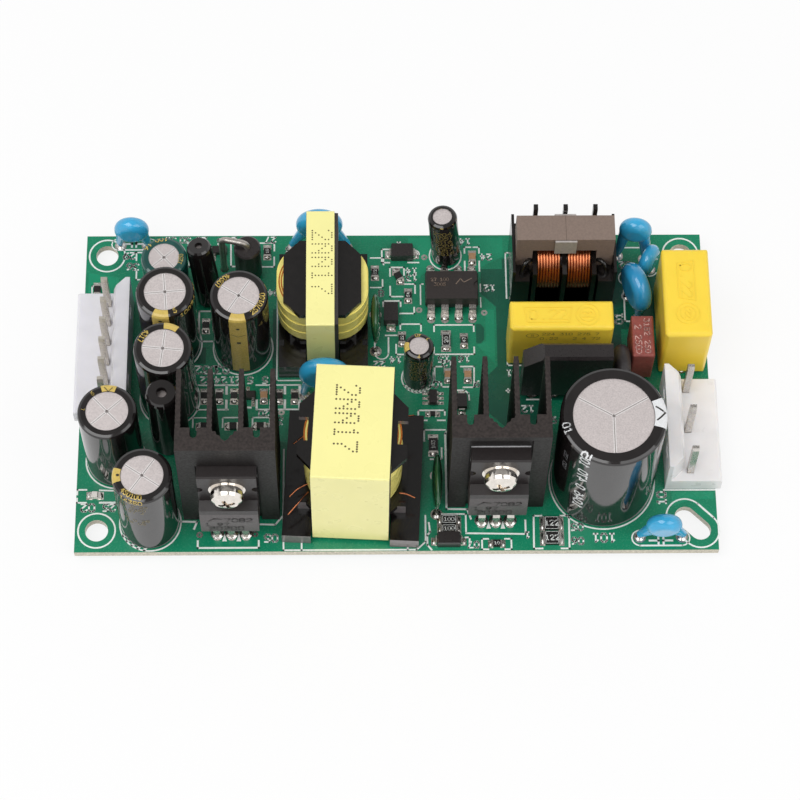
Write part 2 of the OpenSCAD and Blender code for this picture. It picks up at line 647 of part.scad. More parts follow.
// Extruded section, drawn with the front face on y = 0
module sink_section() {
    difference() {
        translate([-sink_w / 2, 0]) square([sink_w, sink_plate]);
        // stepped valley where a gap between fins lies on the middle, round flutes elsewhere
        for (i = [0:fin_n - 2]) translate([(i - (fin_n - 2) / 2) * fin_pitch, sink_plate])
            if (i == (fin_n - 2) / 2) polygon([
                [-2.3, eps], [-2.1, -0.7], [-1.6, -0.7], [-1.4, -1.3], [-0.9, -1.5], [-0.6, -2.1],
                [0, -2.5], [0.6, -2.1], [0.9, -1.5], [1.4, -1.3], [1.6, -0.7], [2.1, -0.7],
                [2.3, eps]]);
            else {
                translate([0, -1.3]) circle(0.6, $fn = fn_small);
                translate([-0.6, -1.3]) square([1.2, 1.3 + eps]);
            }
    }
    for (i = [0:fin_n - 1]) translate([(i - (fin_n - 1) / 2) * fin_pitch, sink_plate - eps]) fin();
}

module heatsink(p) on_board(p, seat_gap) difference() {
    linear_extrude(sink_h) sink_section();
    // seat milled for the device, open at the bottom
    translate([-seat_w / 2, -1, -eps]) cube([seat_w, 1 + seat_depth, seat_top(p) - seat_gap]);
    // clamp screw hole and the two peg sockets
    translate([0, -eps, dev_hole_z(p) - seat_gap]) rotate([-90, 0, 0])
        cylinder(r = screw_r + fit, h = sink_plate + 1, $fn = fn_small);
    for (s = [-1, 1]) translate([s * peg_x, sink_plate / 2, -eps])
        cylinder(r = peg_r + fit, h = 3, $fn = fn_small);
}

// Moulded body: thick lower block, thinner clamped top, drawn as (y, z)
// with the back face on y = 0
module device(p) on_board([p.x, p.y + seat_depth - pad_t], dev_z(p)) difference() {
    across_x(dev_w) polygon([
        [0, 0], [-dev_t, 0], [-dev_t - 0.15, dev_low_h * 0.5], [-dev_t, dev_low_h],
        [-dev_top_t, dev_low_h + 0.4], [-dev_top_t, dev_h - 0.3], [-dev_top_t + 0.3, dev_h],
        [0, dev_h]]);
    translate([0, 1, dev_h - dev_hole_drop]) rotate([90, 0, 0])
        cylinder(r = screw_r + fit, h = dev_t + 2, $fn = fn_small);
    // half-round notches in the two upper edges, beside the screw
    for (s = [-1, 1]) translate([s * dev_w / 2, 1, dev_h - dev_hole_drop - 1]) rotate([90, 0, 0])
        cylinder(r = 0.9, h = dev_t + 2, $fn = fn_small);
}

// Flat leads with a joggle, wide above the shoulder and narrow below
module device_leads(p) for (q = dev_leads(p)) on_board(q) {
    y = p.y + seat_depth - pad_t - q.y - 2.5;    // where the lead leaves the body
    z = dev_z(p);
    difference() {
        across_x(1.25) polygon([
            [y + 0.25, z - fit], [y + 0.25, z - 1.2], [0.25, 2.9], [0.25, -top],
            [-0.25, -top], [-0.25, 3.1], [y - 0.25, z - 1], [y - 0.25, z - fit]]);
        for (s = [-1, 1]) translate([s * 0.9 - 0.5, -2, -top - 1]) cube([1, 4, top + 3.2]);
    }
}

module switch_heatsink() color("#3c3432") heatsink(switch_sink_pos);
module switch_transistor() color("dimgray") device(switch_sink_pos);
module switch_transistor_leads() color("silver") device_leads(switch_sink_pos);
module rectifier_heatsink() color("#3c3432") heatsink(rect_sink_pos);
module rectifier_diode() color("dimgray") device(rect_sink_pos);
module rectifier_diode_leads() color("silver") device_leads(rect_sink_pos);

washer_t = 0.5;
lock_t = 0.7;
// Places its children on the clamp axis, with +Z pointing at the front
module clamp_axis(p, z = 0)
    on_board([p.x, p.y + seat_depth - pad_t - dev_top_t - z], dev_hole_z(p)) rotate([90, 0, 0])
        children();

module clamp_screws() color("gainsboro") for (p = [switch_sink_pos, rect_sink_pos])
    clamp_axis(p, washer_t + lock_t) difference() {
        union() {
            rotate_extrude($fn = fn_mid) polygon([
                [0, 0], [screw_head_r, 0], [screw_head_r, screw_head_h * 0.35],
                [screw_head_r * 0.92, screw_head_h * 0.62], [screw_head_r * 0.7, screw_head_h * 0.88],
                [screw_head_r * 0.35, screw_head_h], [0, screw_head_h]]);
            translate([0, 0, -screw_l]) cylinder(r = screw_r, h = screw_l + eps, $fn = fn_small);
        }
        // cross recess
        for (a = [0, 90]) rotate(a + 20) translate([-1.5, -0.35, screw_head_h * 0.45])
            cube([3, 0.7, screw_head_h]);
    }

// A flat washer and a split lock washer under each head
module clamp_washers() color("silver") for (p = [switch_sink_pos, rect_sink_pos]) {
    clamp_axis(p) difference() {
        cylinder(r = washer_r, h = washer_t, $fn = fn_mid);
        translate([0, 0, -eps]) cylinder(r = screw_r + fit, h = 1, $fn = fn_small);
    }
    clamp_axis(p, washer_t) difference() {
        cylinder(r = screw_head_r - 0.1, h = lock_t, $fn = fn_mid);
        translate([0, 0, -eps]) cylinder(r = screw_r + fit, h = 1, $fn = fn_small);
        translate([0, -0.2, -eps]) cube([4, 0.4, 1]);
    }
}

module insulating_pads() color("dimgray") for (p = [switch_sink_pos, rect_sink_pos])
    on_board([p.x, p.y + seat_depth - pad_t / 2], dev_z(p) - 0.6) difference() {
        across_y(pad_t) translate([-dev_w / 2, 0]) square([dev_w, dev_h + 0.6]);
        translate([0, 1, dev_h - dev_hole_drop + 0.6]) rotate([90, 0, 0])
            cylinder(r = screw_r + 0.2, h = 2, $fn = fn_small);
    }

module heatsink_pegs() color("silver") for (q = [switch_sink_pos, rect_sink_pos], p = peg_places(q))
    on_board(p) lead(peg_r, seat_gap + 2.8);

// --------------------------------------------------------- main transformer

module main_frame(z = 0) on_board(main_pos, z, main_turn) children();

// One core half: plate, centre post and the two legs round the window
module main_half() {
    linear_extrude(main_plate_t) square([main_core_w, main_core_l], center = true);
    translate([0, 0, main_plate_t - eps]) {
        cylinder(r = main_post_r, h = main_core_h / 2 - main_plate_t + eps, $fn = fn_mid);
        linear_extrude(main_core_h / 2 - main_plate_t + eps) difference() {
            square([main_core_w, main_core_l], center = true);
            circle(main_window_r, $fn = fn_big);
        }
    }
}

module main_transformer_core() color("dimgray") main_frame(main_z) {
    main_half();
    translate([0, 0, main_core_h]) mirror([0, 0, 1]) main_half();
}

main_flange_t = 1.2;
main_in_z = main_z + main_plate_t;          // window floor
main_out_z = main_z + main_core_h - main_plate_t;
// Flange plate with cut corners, notched at both sides for the wire
module main_flange() linear_extrude(main_flange_t) difference() {
    intersection() {
        square([main_flange_w, main_flange_d], center = true);
        rotate(45) square((main_flange_w + main_flange_d) * 0.575, center = true);
    }
    // slot between the two ears that stand out on either side
    for (s = [-1, 1]) translate([s * main_flange_w / 2, 0]) square([3.4, 4.4], center = true);
    // room for the core's legs
    difference() {
        square([main_core_w + 2 * fit, main_core_l], center = true);
        circle(main_window_r - fit, $fn = fn_big);
    }
}

module main_transformer_bobbin() color("#1c1a1a") {
    main_frame(main_in_z + fit) difference() {
        union() {
            main_flange();
            translate([0, 0, main_out_z - main_in_z - main_flange_t - 2 * fit]) main_flange();
            cylinder(r = main_post_r + 1, h = main_out_z - main_in_z - 2 * fit, $fn = fn_mid);
        }
        translate([0, 0, -1]) cylinder(r = main_post_r + fit, h = main_core_h, $fn = fn_mid);
    }
    // pin rails on both sides, stepped up to the lower flange
    rail_in = main_core_w / 2 + 0.2;
    rail_w = main_rail_x - rail_in;
    main_frame() for (s = [-1, 1]) difference() {
        union() {
            translate([s > 0 ? rail_in : -main_rail_x, 0.8 - main_rail_l / 2, seat_gap])
                cube([rail_w, main_rail_l, 3.1]);
            translate([s > 0 ? rail_in : -rail_in - rail_w / 2, -main_rail_l / 4, seat_gap])
                cube([rail_w / 2, main_rail_l / 2, main_in_z + fit + main_flange_t - seat_gap]);
        }
        for (i = [-2:2]) translate([s * main_pin_x, 0.8 + i * main_pin_pitch, -1])
            cylinder(r = bobbin_pin_r + 0.02, h = 3.6, $fn = fn_small);
        // recesses under the rail leave feet at its ends
        translate([s * (rail_in + rail_w / 2) - rail_w, 0.8 - main_rail_l * 0.36, -1])
            cube([2 * rail_w, main_rail_l * 0.72, 1.5]);
    }
}

// Wound to two widths: the full layers below, the top layer a little narrower
module main_transformer_winding() color("khaki") {
    z0 = main_in_z + main_flange_t + 2 * fit;
    h = main_out_z - main_flange_t - 2 * fit - z0;
    r = main_coil_r;
    main_frame(z0) rotate_extrude($fn = fn_big) polygon([
        [main_post_r + 1.05, 0], [r - 0.6, 0], [r - 0.1, 1.5], [r, h * 0.45], [r, h * 0.62],
        [r - 0.4, h * 0.62 + 0.3], [r - 0.4, h], [main_post_r + 1.05, h]]);
}

// Rotation that turns +Z along v
function aim(v) = let (z = v / norm(v), t = abs(z.x) < 0.9 ? [1, 0, 0] : [0, 1, 0],
    c = cross(t, z), x = c / norm(c), y = cross(z, x))
    [[x.x, y.x, z.x, 0], [x.y, y.y, z.y, 0], [x.z, y.z, z.z, 0], [0, 0, 0, 1]];

// Tape wound round a core in the YZ plane
module tape_loop(w, l, h, t) across_x(w) difference() {
    round_rect(l + 2 * t + 2 * film_gap, h + 2 * t + 2 * film_gap, t);
    square([l + 2 * film_gap, h + 2 * film_gap], center = true);
}

main_tape_t = 0.3;
module main_transformer_tape() color("#fbf3a8")
    main_frame(main_z + main_core_h / 2)
        tape_loop(main_core_w - 0.2, main_core_l + 0.1, main_core_h + 0.1, main_tape_t);

module main_transformer_pins() color("silver") for (p = main_pins())
    on_board(p) lead(bobbin_pin_r, 2.4);

// ---------------------------------------------------- auxiliary transformer

module aux_frame(z = 0) on_board(aux_pos, z) children();

// E-shaped half, drawn as (y, z) with its yoke below
module aux_half() across_x(aux_core_w) {
    translate([-aux_core_l / 2, 0]) square([aux_core_l, aux_leg_t]);
    for (y = [-aux_core_l / 2, aux_core_l / 2 - aux_leg_t])
        translate([y, 0]) square([aux_leg_t, aux_core_h / 2]);
    translate([-aux_mid_leg / 2, 0]) square([aux_mid_leg, aux_core_h / 2]);
}

module aux_transformer_core() color("#2c2a2b") aux_frame(aux_z) {
    aux_half();
    translate([0, 0, aux_core_h]) mirror([0, 0, 1]) aux_half();
}

aux_in_z = aux_z + aux_leg_t;
aux_out_z = aux_z + aux_core_h - aux_leg_t;
aux_flange_t = 1.1;
aux_flange_w = 13.9;
module aux_flange() linear_extrude(aux_flange_t) intersection() {
    square([aux_flange_w, aux_core_l - 2 * aux_leg_t - 2 * fit], center = true);
    rotate(45) square([16.4, 16.4], center = true);
}

module aux_transformer_bobbin() color("#171516") {
    aux_frame(aux_in_z + fit) difference() {
        union() {
            aux_flange();
            translate([0, 0, aux_out_z - aux_in_z - aux_flange_t - 2 * fit]) aux_flange();
            linear_extrude(aux_out_z - aux_in_z - 2 * fit)
                square([aux_core_w + 1.8, aux_mid_leg + 1.8], center = true);
        }
        translate([0, 0, -1]) linear_extrude(aux_core_h)
            square([aux_core_w + 2 * fit, aux_mid_leg + 2 * fit], center = true);
    }
    // pin rails beside the core, reaching up to the lower flange
    aux_frame() for (s = [-1, 1]) difference() {
        union() {
            translate([s > 0 ? aux_core_w / 2 + 0.2 : -aux_rail_x, -aux_core_l / 2 - 0.4, seat_gap])
                cube([aux_rail_x - aux_core_w / 2 - 0.2, aux_core_l + 0.8, 4.4]);
            translate([s > 0 ? aux_core_w / 2 + 0.2 : -6, -6, seat_gap])
                cube([6 - aux_core_w / 2 - 0.2, 12, aux_in_z + fit + aux_flange_t - seat_gap]);
        }
        for (i = [-2:2]) translate([s * aux_pin_x, i * aux_pin_pitch, -1])
            cylinder(r = bobbin_pin_r + 0.02, h = 3.6, $fn = fn_small);
        // wire grooves across the rail
        for (i = [-2:1]) translate([s * aux_rail_x - 1, (i + 0.5) * aux_pin_pitch - 0.6, 3.2])
            cube([2, 1.2, 3]);
    }
}

// Taped winding: a round-cornered barrel round the centre leg
module aux_transformer_winding() color("#e8d98a") {
    z0 = aux_in_z + aux_flange_t + 2 * fit;
    z1 = aux_out_z - aux_flange_t - 2 * fit;
    aux_frame(z0) difference() {
        union() {
            linear_extrude(z1 - z0) round_rect(aux_coil_w, aux_coil_d, 5.6);
            for (k = [0:2]) translate([0, 0, 0.6 + k * (z1 - z0) / 3])
                linear_extrude((z1 - z0) / 3 - 0.9) round_rect(aux_coil_w + 0.4, aux_coil_d + 0.4, 5.8);
        }
        translate([0, 0, -1]) linear_extrude(aux_core_h)
            square([aux_core_w + 1.9, aux_mid_leg + 1.9], center = true);
    }
}

module aux_transformer_tape() color("#f8f0a4")
    aux_frame(aux_z + aux_core_h / 2) translate([-0.3, 0, 0])
        tape_loop(aux_core_w - 0.7, aux_core_l, aux_core_h, 0.3);

module aux_transformer_pins() color("silver") for (p = aux_pins())
    on_board(p) lead(bobbin_pin_r, 2.4);

// ---------------------------------------------------------------- line choke

choke_low = choke_axis_z - choke_leg_t / 2;     // underside of the wound leg
choke_in = choke_core_w / 2 - 3;                // half length of the winding window

// Two U-shaped halves that meet in the middle of each leg
module line_choke_core() color("#8c7a6e") on_board(choke_pos) for (s = [-1, 1])
    across_y(choke_core_d) difference() {
        translate([s > 0 ? 0.02 : -choke_core_w / 2, choke_low])
            square([choke_core_w / 2 - 0.02, choke_core_top - choke_low]);
        translate([-choke_in, choke_low + choke_leg_t])
            square([2 * choke_in, choke_core_top - choke_low - 2 * choke_leg_t]);
    }

choke_band_t = 0.4;
// Partition seen from the side, drawn as (y, z): low in front, with a hook behind the core
module choke_partition() {
    r = choke_coil_r + 0.6;
    hook_in = choke_core_d / 2 + choke_band_t + 0.2;
    hook_out = choke_core_d / 2 + 1.7;
    translate([-r, choke_axis_z - choke_coil_r - 0.5]) square([2 * r, choke_coil_r * 2 + 0.3]);
    translate([hook_in, choke_axis_z])
        square([hook_out - hook_in, choke_core_top + choke_hook - choke_axis_z]);
}

module line_choke_bobbin() color("#161415") on_board(choke_pos) {
    wall = 0.8;
    difference() {
        union() {
            for (k = [-1, 0, 1]) translate([k * (choke_in - wall / 2 - fit), 0, 0])
                across_x(wall) choke_partition();
            translate([0, 0, choke_axis_z]) rotate([0, 90, 0])
                cylinder(r = norm([choke_leg_t, choke_core_d]) / 2 + 0.6,
                         h = 2 * choke_in - 2 * fit, center = true, $fn = fn_mid);
        }
        translate([0, 0, choke_axis_z])
            cube([40, choke_core_d + 2 * fit, choke_leg_t + 2 * fit], center = true);
        translate([-30, -choke_core_d / 2 - fit, choke_core_top - choke_leg_t - fit])
            cube([60, choke_core_d + 2 * fit, 30]);
    }
    // end blocks under the core's sides, which hold the pins
    for (s = [-1, 1]) difference() {
        union() {
            translate([s * (choke_end_x - 1.6) - 1.6, -6, seat_gap])
                cube([3.2, 12, choke_low - 0.3 - seat_gap]);
            translate([s * (choke_end_x - 0.25) - 0.25, -6, seat_gap]) cube([0.5, 12, 13.5]);
            for (y = [-6, choke_core_d / 2 + 0.15])
                translate([s * (choke_end_x - 1.6) - 1.6, y, seat_gap])
                    cube([3.2, 6 - choke_core_d / 2 - 0.15, 10]);
        }
        for (y = [-4.2, 4.2]) translate([s * (choke_end_x - 1), y, -1])
            cylinder(r = bobbin_pin_r + 0.02, h = 3.6, $fn = fn_small);
    }
    // floor bar that joins the end blocks to the partitions
    translate([-choke_end_x + 2, -1.5, seat_gap])
        cube([2 * choke_end_x - 4, 3, choke_axis_z - choke_coil_r - 0.3 - seat_gap]);
}

// Two bank-wound coils: each turn is a ring on the winding axis
module choke_coil(l) {
    pitch = l / choke_turns;
    r = pitch / 2 * 1.02;
    rotate([0, 90, 0]) rotate_extrude($fn = fn_mid) {
        translate([norm([choke_leg_t, choke_core_d]) / 2 + 0.65, -l / 2])
            square([choke_coil_r - r - norm([choke_leg_t, choke_core_d]) / 2 - 0.65, l]);
        for (i = [0:choke_turns - 1])
            translate([choke_coil_r - r, -l / 2 + (i + 0.5) * pitch]) circle(r, $fn = 16);
    }
}

module line_choke_windings() color("#b5592b") {
    l = choke_in - 1.5;
    for (s = [-1, 1]) on_board(choke_pos, choke_axis_z)
        translate([s * (choke_in / 2 - 0.15), 0, 0]) choke_coil(l);
}

// Spring band pushed up over the bare leg from below, open along the top
module line_choke_clip() color("silver")
    on_board(choke_pos, choke_core_top - choke_leg_t / 2) across_x(choke_band_w) difference() {
        translate([-choke_core_d / 2 - choke_band_t, -choke_leg_t / 2 - choke_band_t])
            square([choke_core_d + 2 * choke_band_t, choke_leg_t + choke_band_t - 0.2]);
        translate([-choke_core_d / 2 - fit, -choke_leg_t / 2 - fit])
            square([choke_core_d + 2 * fit, choke_leg_t + 1]);
    }

module line_choke_pins() color("silver") for (p = choke_pins()) on_board(p) lead(bobbin_pin_r, 2.4);

// -------------------------------------------------------------- filter parts

// Boxed film capacitor on two small feet
module box_capacitor(s) {
    translate([0, 0, 0.5]) soft_box(s - [0, 0, 0.5], 0.8);
    long = s.x > s.y;
    for (k = [-1, 1]) rotate(long ? 0 : 90) translate([k * 5.9, 0, seat_gap + 0.3])
        cube([1, min(s.x, s.y) - 2.4, 0.6], center = true);
}
module x_capacitors() color("#f6d94f") {
    on_board(xcap1_pos) box_capacitor(xcap1_size);
    on_board(xcap2_pos) box_capacitor(xcap2_size);
}

bridge_z = 2;
module bridge_rectifier() color("#232122") on_board(bridge_pos, bridge_z) {
    s = bridge_size;
    c = 0.5;
    difference() {
        across_y(s.y) polygon([
            [-s.x / 2, 0], [s.x / 2, 0], [s.x / 2, s.z], [-s.x / 2 + 3.6, s.z],
            [-s.x / 2, s.z - 3.2]]);
        // drafted top edges
        for (k = [-1, 1]) translate([0, k * s.y / 2, s.z]) rotate([45, 0, 0])
            cube([s.x + 1, c * 1.4, c * 1.4], center = true);
    }
}
module bridge_rectifier_leads() color("silver") for (p = bridge_leads())
    on_board(p) lead(bridge_lead_r, bridge_z - fit);

// Disc with a full round rim, axis along Y, centred
module pill(r, t) rotate([90, 0, 0]) rotate_extrude($fn = fn_mid) {
    translate([0, -t / 2]) square([r - t / 2, t]);
    intersection() {
        translate([r - t / 2, 0]) circle(t / 2, $fn = fn_small);
        translate([0, -t]) square([r, 2 * t]);
    }
}

// Dipped disc on two coated legs: [place, radius, thickness, centre, turn, lean, pitch]
module dipped_disc(d) {
    r = d[1];
    t = d[2];
    zc = d[3];
    on_board(d[0], 1, d[4]) rotate([d[5], 0, 0]) union() {
        translate([0, 0, zc - 1]) pill(r, t);
        for (s = [-1, 1]) translate([s * d[6] / 2, 0, 0]) {
            v = [-s * (d[6] / 2 - r * 0.55), 0, zc - 1 - r * 0.35 - leg_r];
            cylinder(r = disc_lead_r + 0.25, h = leg_r, $fn = fn_small);
            translate([0, 0, leg_r]) sphere(r = leg_r, $fn = fn_small);
            // the coating thickens towards the disc
            translate([0, 0, leg_r]) multmatrix(aim(v))
                cylinder(r1 = leg_r, r2 = t * 0.42, h = norm(v), $fn = fn_small);
        }
    }
}
module disc_capacitors() color("#4aa3dc") for (d = DISCS) dipped_disc(d);
module varistor() color("#3a8cc8") dipped_disc(VARISTOR);

module inrush_thermistor() color("#3b3839") on_board(ntc_pos, 0, 90) {
    translate([0, 0, 2.4 + ntc_r]) pill(ntc_r, ntc_t);
    for (s = [-1, 1]) translate([s * ntc_pitch / 2, 0, 1.2])
        cylinder(r = 0.7, h = 3.4, $fn = fn_small);
}

module fuse() color("#8e3d38") on_board(fuse_pos, 1.8) soft_box(fuse_size, 0.4);

module film_capacitors() color("#2f6b45") for (f = FILMS) on_board(f[0], 1.2)
    soft_box([film_t, f[1], film_top - 1.2], film_t * 0.42);

module radial_leads() color("silver") {
    for (p = pair(xcap1_pos, xcap1_pitch)) on_board(p) lead(bulk_lead_r, 0.5 - fit);
    for (p = pair(xcap2_pos, xcap2_pitch, 90)) on_board(p) lead(bulk_lead_r, 0.5 - fit);
    for (p = pair(fuse_pos, fuse_pitch, 90)) on_board(p) lead(disc_lead_r, 1.8 - fit);
    for (p = pair(ntc_pos, ntc_pitch, 90)) on_board(p) lead(bulk_lead_r, 1.2 - fit);
    for (d = concat(DISCS, [VARISTOR]), p = pair(d[0], d[6], d[4]))
        on_board(p) lead(disc_lead_r, 1 - fit);
    for (f = FILMS, p = pair(f[0], f[2], 90)) on_board(p) lead(disc_lead_r, 1.2 - fit);
}

// --------------------------------------------------- rod chokes and the diode

rod_t = 0.45;
// Shrink tube, drawn in at the top; the ferrite's end shows in the opening
module rod_sleeve(r, h) {
    i = r + 0.5;
    o = i + rod_t;
    rotate_extrude($fn = fn_mid) polygon([
        [i, 0.6], [o, 0.6], [o + 0.1, h * 0.3], [o, h - 1], [o - 0.15, h - 0.35], [o - 0.45, h],
        [r * 0.5, h], [r * 0.4, h - 0.6], [r * 0.7, h - 0.6], [i, h - 1.4]]);
}
module rod_core(r, h) {
    translate([0, 0, 1.6]) cylinder(r = r, h = h - 3.2, $fn = fn_mid);
    translate([0, 0, 2.6]) cylinder(r = r + 0.45, h = h - 5.6, $fn = fn_mid);
}
module rod_choke_sleeves() color("#151313") {
    on_board(rod1_pos) rod_sleeve(rod1_r, rod1_h);
    on_board(rod2_pos) rotate([-rod2_lean, -rod2_lean / 2, 0]) rod_sleeve(rod2_r, rod2_h);
}
module rod_choke_cores() color("#4c4a4b") {
    on_board(rod1_pos) rod_core(rod1_r, rod1_h);
    on_board(rod2_pos) rotate([-rod2_lean, -rod2_lean / 2, 0]) rod_core(rod2_r, rod2_h);
}

module upright_diode() color("#1d1b1b") on_board(diode_pos, 1)
    rotate_extrude($fn = fn_mid) polygon([
        [0, 0], [diode_r - 0.3, 0], [diode_r, 0.3], [diode_r, diode_l - 0.3],
        [diode_r - 0.3, diode_l], [0, diode_l]]);

module axial_leads() color("silver") {
    for (p = rod_leads(rod1_pos)) on_board(p) lead(rod_lead_r, 1.5);
    for (p = rod_leads(rod2_pos)) on_board(p) lead(rod_lead_r, 1.1);
    on_board(diode_pos) lead(diode_lead_r, 1 - fit);
    // the long lead turns over in two bends and runs down to the board
    v = diode_foot - diode_pos;
    l = norm(v);
    z = 1 + diode_l + fit;
    on_board(diode_pos, z, atan2(v.y, v.x)) {
        for (x = [diode_bend, l - diode_bend]) translate([x, 0, 0]) rotate([90, 0, 0])
            rotate(x < l / 2 ? 90 : 0) rotate_extrude(angle = 90, $fn = fn_mid)
                translate([diode_bend, 0]) circle(diode_lead_r, $fn = fn_small);
        translate([diode_bend, 0, diode_bend]) rotate([0, 90, 0])
            cylinder(r = diode_lead_r, h = l - 2 * diode_bend, $fn = fn_small);
        translate([l, 0, -z - top]) cylinder(r = diode_lead_r, h = z + top, $fn = fn_small);
    }
}

// ------------------------------------------------------------ control circuit

// Moulded body with drafted sides, a flat top and a pin 1 dimple
module controller_ic() color("#3a3536") on_board(ic_pos, 0.35) difference() {
    intersection() {
        across_y(ic_w) polygon([
            [-ic_l / 2 + 0.25, 0], [ic_l / 2 - 0.25, 0], [ic_l / 2, ic_h * 0.45],
            [ic_l / 2 - 0.25, ic_h], [-ic_l / 2 + 0.25, ic_h], [-ic_l / 2, ic_h * 0.45]]);
        across_x(ic_l) polygon([
            [-ic_w / 2 + 0.3, 0], [ic_w / 2 - 0.3, 0], [ic_w / 2, ic_h * 0.45],
            [ic_w / 2 - 0.3, ic_h], [-ic_w / 2 + 0.3, ic_h], [-ic_w / 2, ic_h * 0.45]]);
    }
    translate([ic_l / 2, 0, ic_h - 0.3]) cylinder(r = 0.9, h = 1, $fn = fn_small);
}

// Gull-wing pins: shoulder, knee and a foot flat on the board
module controller_ic_pins() color("silver") {
    y = ic_w / 2 + fit;
    z = 0.35 + ic_h * 0.45;
    for (s = [-1, 1], i = [-1.5:1:1.5])
        on_board(ic_pos) translate([i * ic_pitch, 0, 0]) rotate(s > 0 ? 0 : 180) difference() {
            across_x(1.3) polygon([
                [y - 0.02, z + 0.13], [y + 0.7, z + 0.13], [y + 1, z - 0.2], [y + 1.1, 0.3],
                [y + 1.8, 0.26], [y + 1.8, 0], [y + 0.85, 0], [y + 0.72, z - 0.3],
                [y + 0.5, z - 0.13], [y - 0.02, z - 0.13]]);
        }
}

end_t = 0.35;                      // length of a chip's metal end
module chip_body(c, h, t = end_t) on_board(c[0], 0, c[1])
    translate([0, 0, h / 2 + 0.05]) cube([c[2].x - 2 * t, c[2].y, h], center = true);
module chip_ends(c, h, t = end_t) on_board(c[0], 0, c[1]) for (s = [-1, 1])
    translate([s * (c[2].x - t) / 2, 0, h / 2 + 0.025]) cube([t, c[2].y, h + 0.05], center = true);

module chip_resistors() color("#26262a") for (c = RESISTORS) chip_body(c, chip_h);
module chip_capacitors() color("#b58a63") for (c = CERAMICS) chip_body(c, chip_h + 0.3);
module chip_terminals() color("silver") {
    for (c = RESISTORS) chip_ends(c, chip_h);
    for (c = CERAMICS) chip_ends(c, chip_h + 0.3);
    chip_ends(LED, 0.4, 0.5);
}
module status_led() color("white") {
    chip_body(LED, 0.4, 0.5);
    on_board(LED[0], 0.45, LED[1]) intersection() {
        linear_extrude(0.4) square([1.2, 1.1], center = true);
        across_y(3) polygon([[-0.6, 0], [0.6, 0], [0.45, 0.4], [-0.45, 0.4]]);
    }
}

module smd_packages() color("#1f1d1e") {
    for (d = SMAS) on_board(d[0], 0.1, d[1]) across_y(d[3]) polygon([
        [-d[2] / 2 + 0.15, 0], [d[2] / 2 - 0.15, 0], [d[2] / 2, d[4] / 2],
        [d[2] / 2 - 0.2, d[4]], [-d[2] / 2 + 0.2, d[4]], [-d[2] / 2, d[4] / 2]]);
    for (s = SOTS) on_board(s[0], 0.1, s[1]) across_y(1.4) polygon([
        [-1.4, 0], [1.4, 0], [1.45, 0.5], [1.3, 1], [-1.3, 1], [-1.45, 0.5]]);
}
module smd_leads() color("silver") {
    for (d = SMAS, s = [-1, 1]) on_board(d[0], 0, d[1]) rotate(s > 0 ? 0 : 180)
        across_y(min(1.5, d[3] * 0.6)) polygon([
            [d[2] / 2 + 0.03, d[4] / 2 + 0.25], [d[2] / 2 + 0.25, d[4] / 2 + 0.25],
            [d[2] / 2 + 0.4, 0.3], [d[2] / 2 + 0.55, 0], [d[2] / 2 + 0.03, 0]]);
    for (s = SOTS, k = s[2] > 3 ? [[-0.95, 1], [0, 1], [0.95, 1], [-0.95, -1], [0, -1], [0.95, -1]]
                                : [[-0.95, -1], [0.95, -1], [0, 1]])
        on_board(s[0], 0, s[1]) translate([k[0], 0, 0]) rotate(k[1] > 0 ? 0 : 180)
            across_x(0.4) polygon([
                [0.72, 0.68], [0.95, 0.68], [1.1, 0.15], [1.45, 0.15], [1.45, 0], [1, 0], [0.86, 0.54],
                [0.72, 0.54]]);
}

// ------------------------------------------------------------------ assembly

circuit_board();
solder_joints();
input_header();
input_header_pins();
output_header();
output_header_pins();
bulk_capacitor_can();
bulk_capacitor_sleeve();
output_capacitor_cans();
output_capacitor_sleeves();
small_capacitor_cans();
small_capacitor_sleeves();
capacitor_seals();
capacitor_leads();
switch_heatsink();
switch_transistor();
switch_transistor_leads();
rectifier_heatsink();
rectifier_diode();
rectifier_diode_leads();
clamp_screws();
clamp_washers();
insulating_pads();
heatsink_pegs();
main_transformer_core();
main_transformer_bobbin();
main_transformer_winding();
main_transformer_tape();
main_transformer_pins();
aux_transformer_core();
aux_transformer_bobbin();
aux_transformer_winding();
aux_transformer_tape();
aux_transformer_pins();
line_choke_core();
line_choke_bobbin();
line_choke_windings();
line_choke_clip();
line_choke_pins();
x_capacitors();
bridge_rectifier();
bridge_rectifier_leads();
inrush_thermistor();
fuse();
disc_capacitors();
varistor();
film_capacitors();
radial_leads();
rod_choke_sleeves();
rod_choke_cores();
upright_diode();
axial_leads();
controller_ic();
controller_ic_pins();
chip_resistors();
chip_capacitors();
chip_terminals();
smd_packages();
smd_leads();
status_led();
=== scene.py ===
from math import copysign, cos, hypot, pi, radians, sin

import bmesh
import bpy
import numpy as np
from mathutils import Matrix, Vector


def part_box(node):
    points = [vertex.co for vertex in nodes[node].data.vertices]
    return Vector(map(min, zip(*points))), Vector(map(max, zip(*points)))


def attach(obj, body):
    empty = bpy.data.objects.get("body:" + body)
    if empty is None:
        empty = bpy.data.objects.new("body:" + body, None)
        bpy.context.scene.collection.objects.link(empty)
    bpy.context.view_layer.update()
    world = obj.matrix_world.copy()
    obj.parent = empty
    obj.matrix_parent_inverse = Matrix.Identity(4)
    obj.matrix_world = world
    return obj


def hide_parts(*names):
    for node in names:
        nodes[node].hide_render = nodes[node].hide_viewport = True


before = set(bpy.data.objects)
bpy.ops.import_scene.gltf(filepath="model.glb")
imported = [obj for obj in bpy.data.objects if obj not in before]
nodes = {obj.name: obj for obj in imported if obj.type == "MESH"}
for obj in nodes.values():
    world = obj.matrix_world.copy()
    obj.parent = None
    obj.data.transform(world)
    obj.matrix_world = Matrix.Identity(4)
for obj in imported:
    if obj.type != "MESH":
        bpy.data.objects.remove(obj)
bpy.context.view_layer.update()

MM = 0.001
board_low, board_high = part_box("circuit_board")
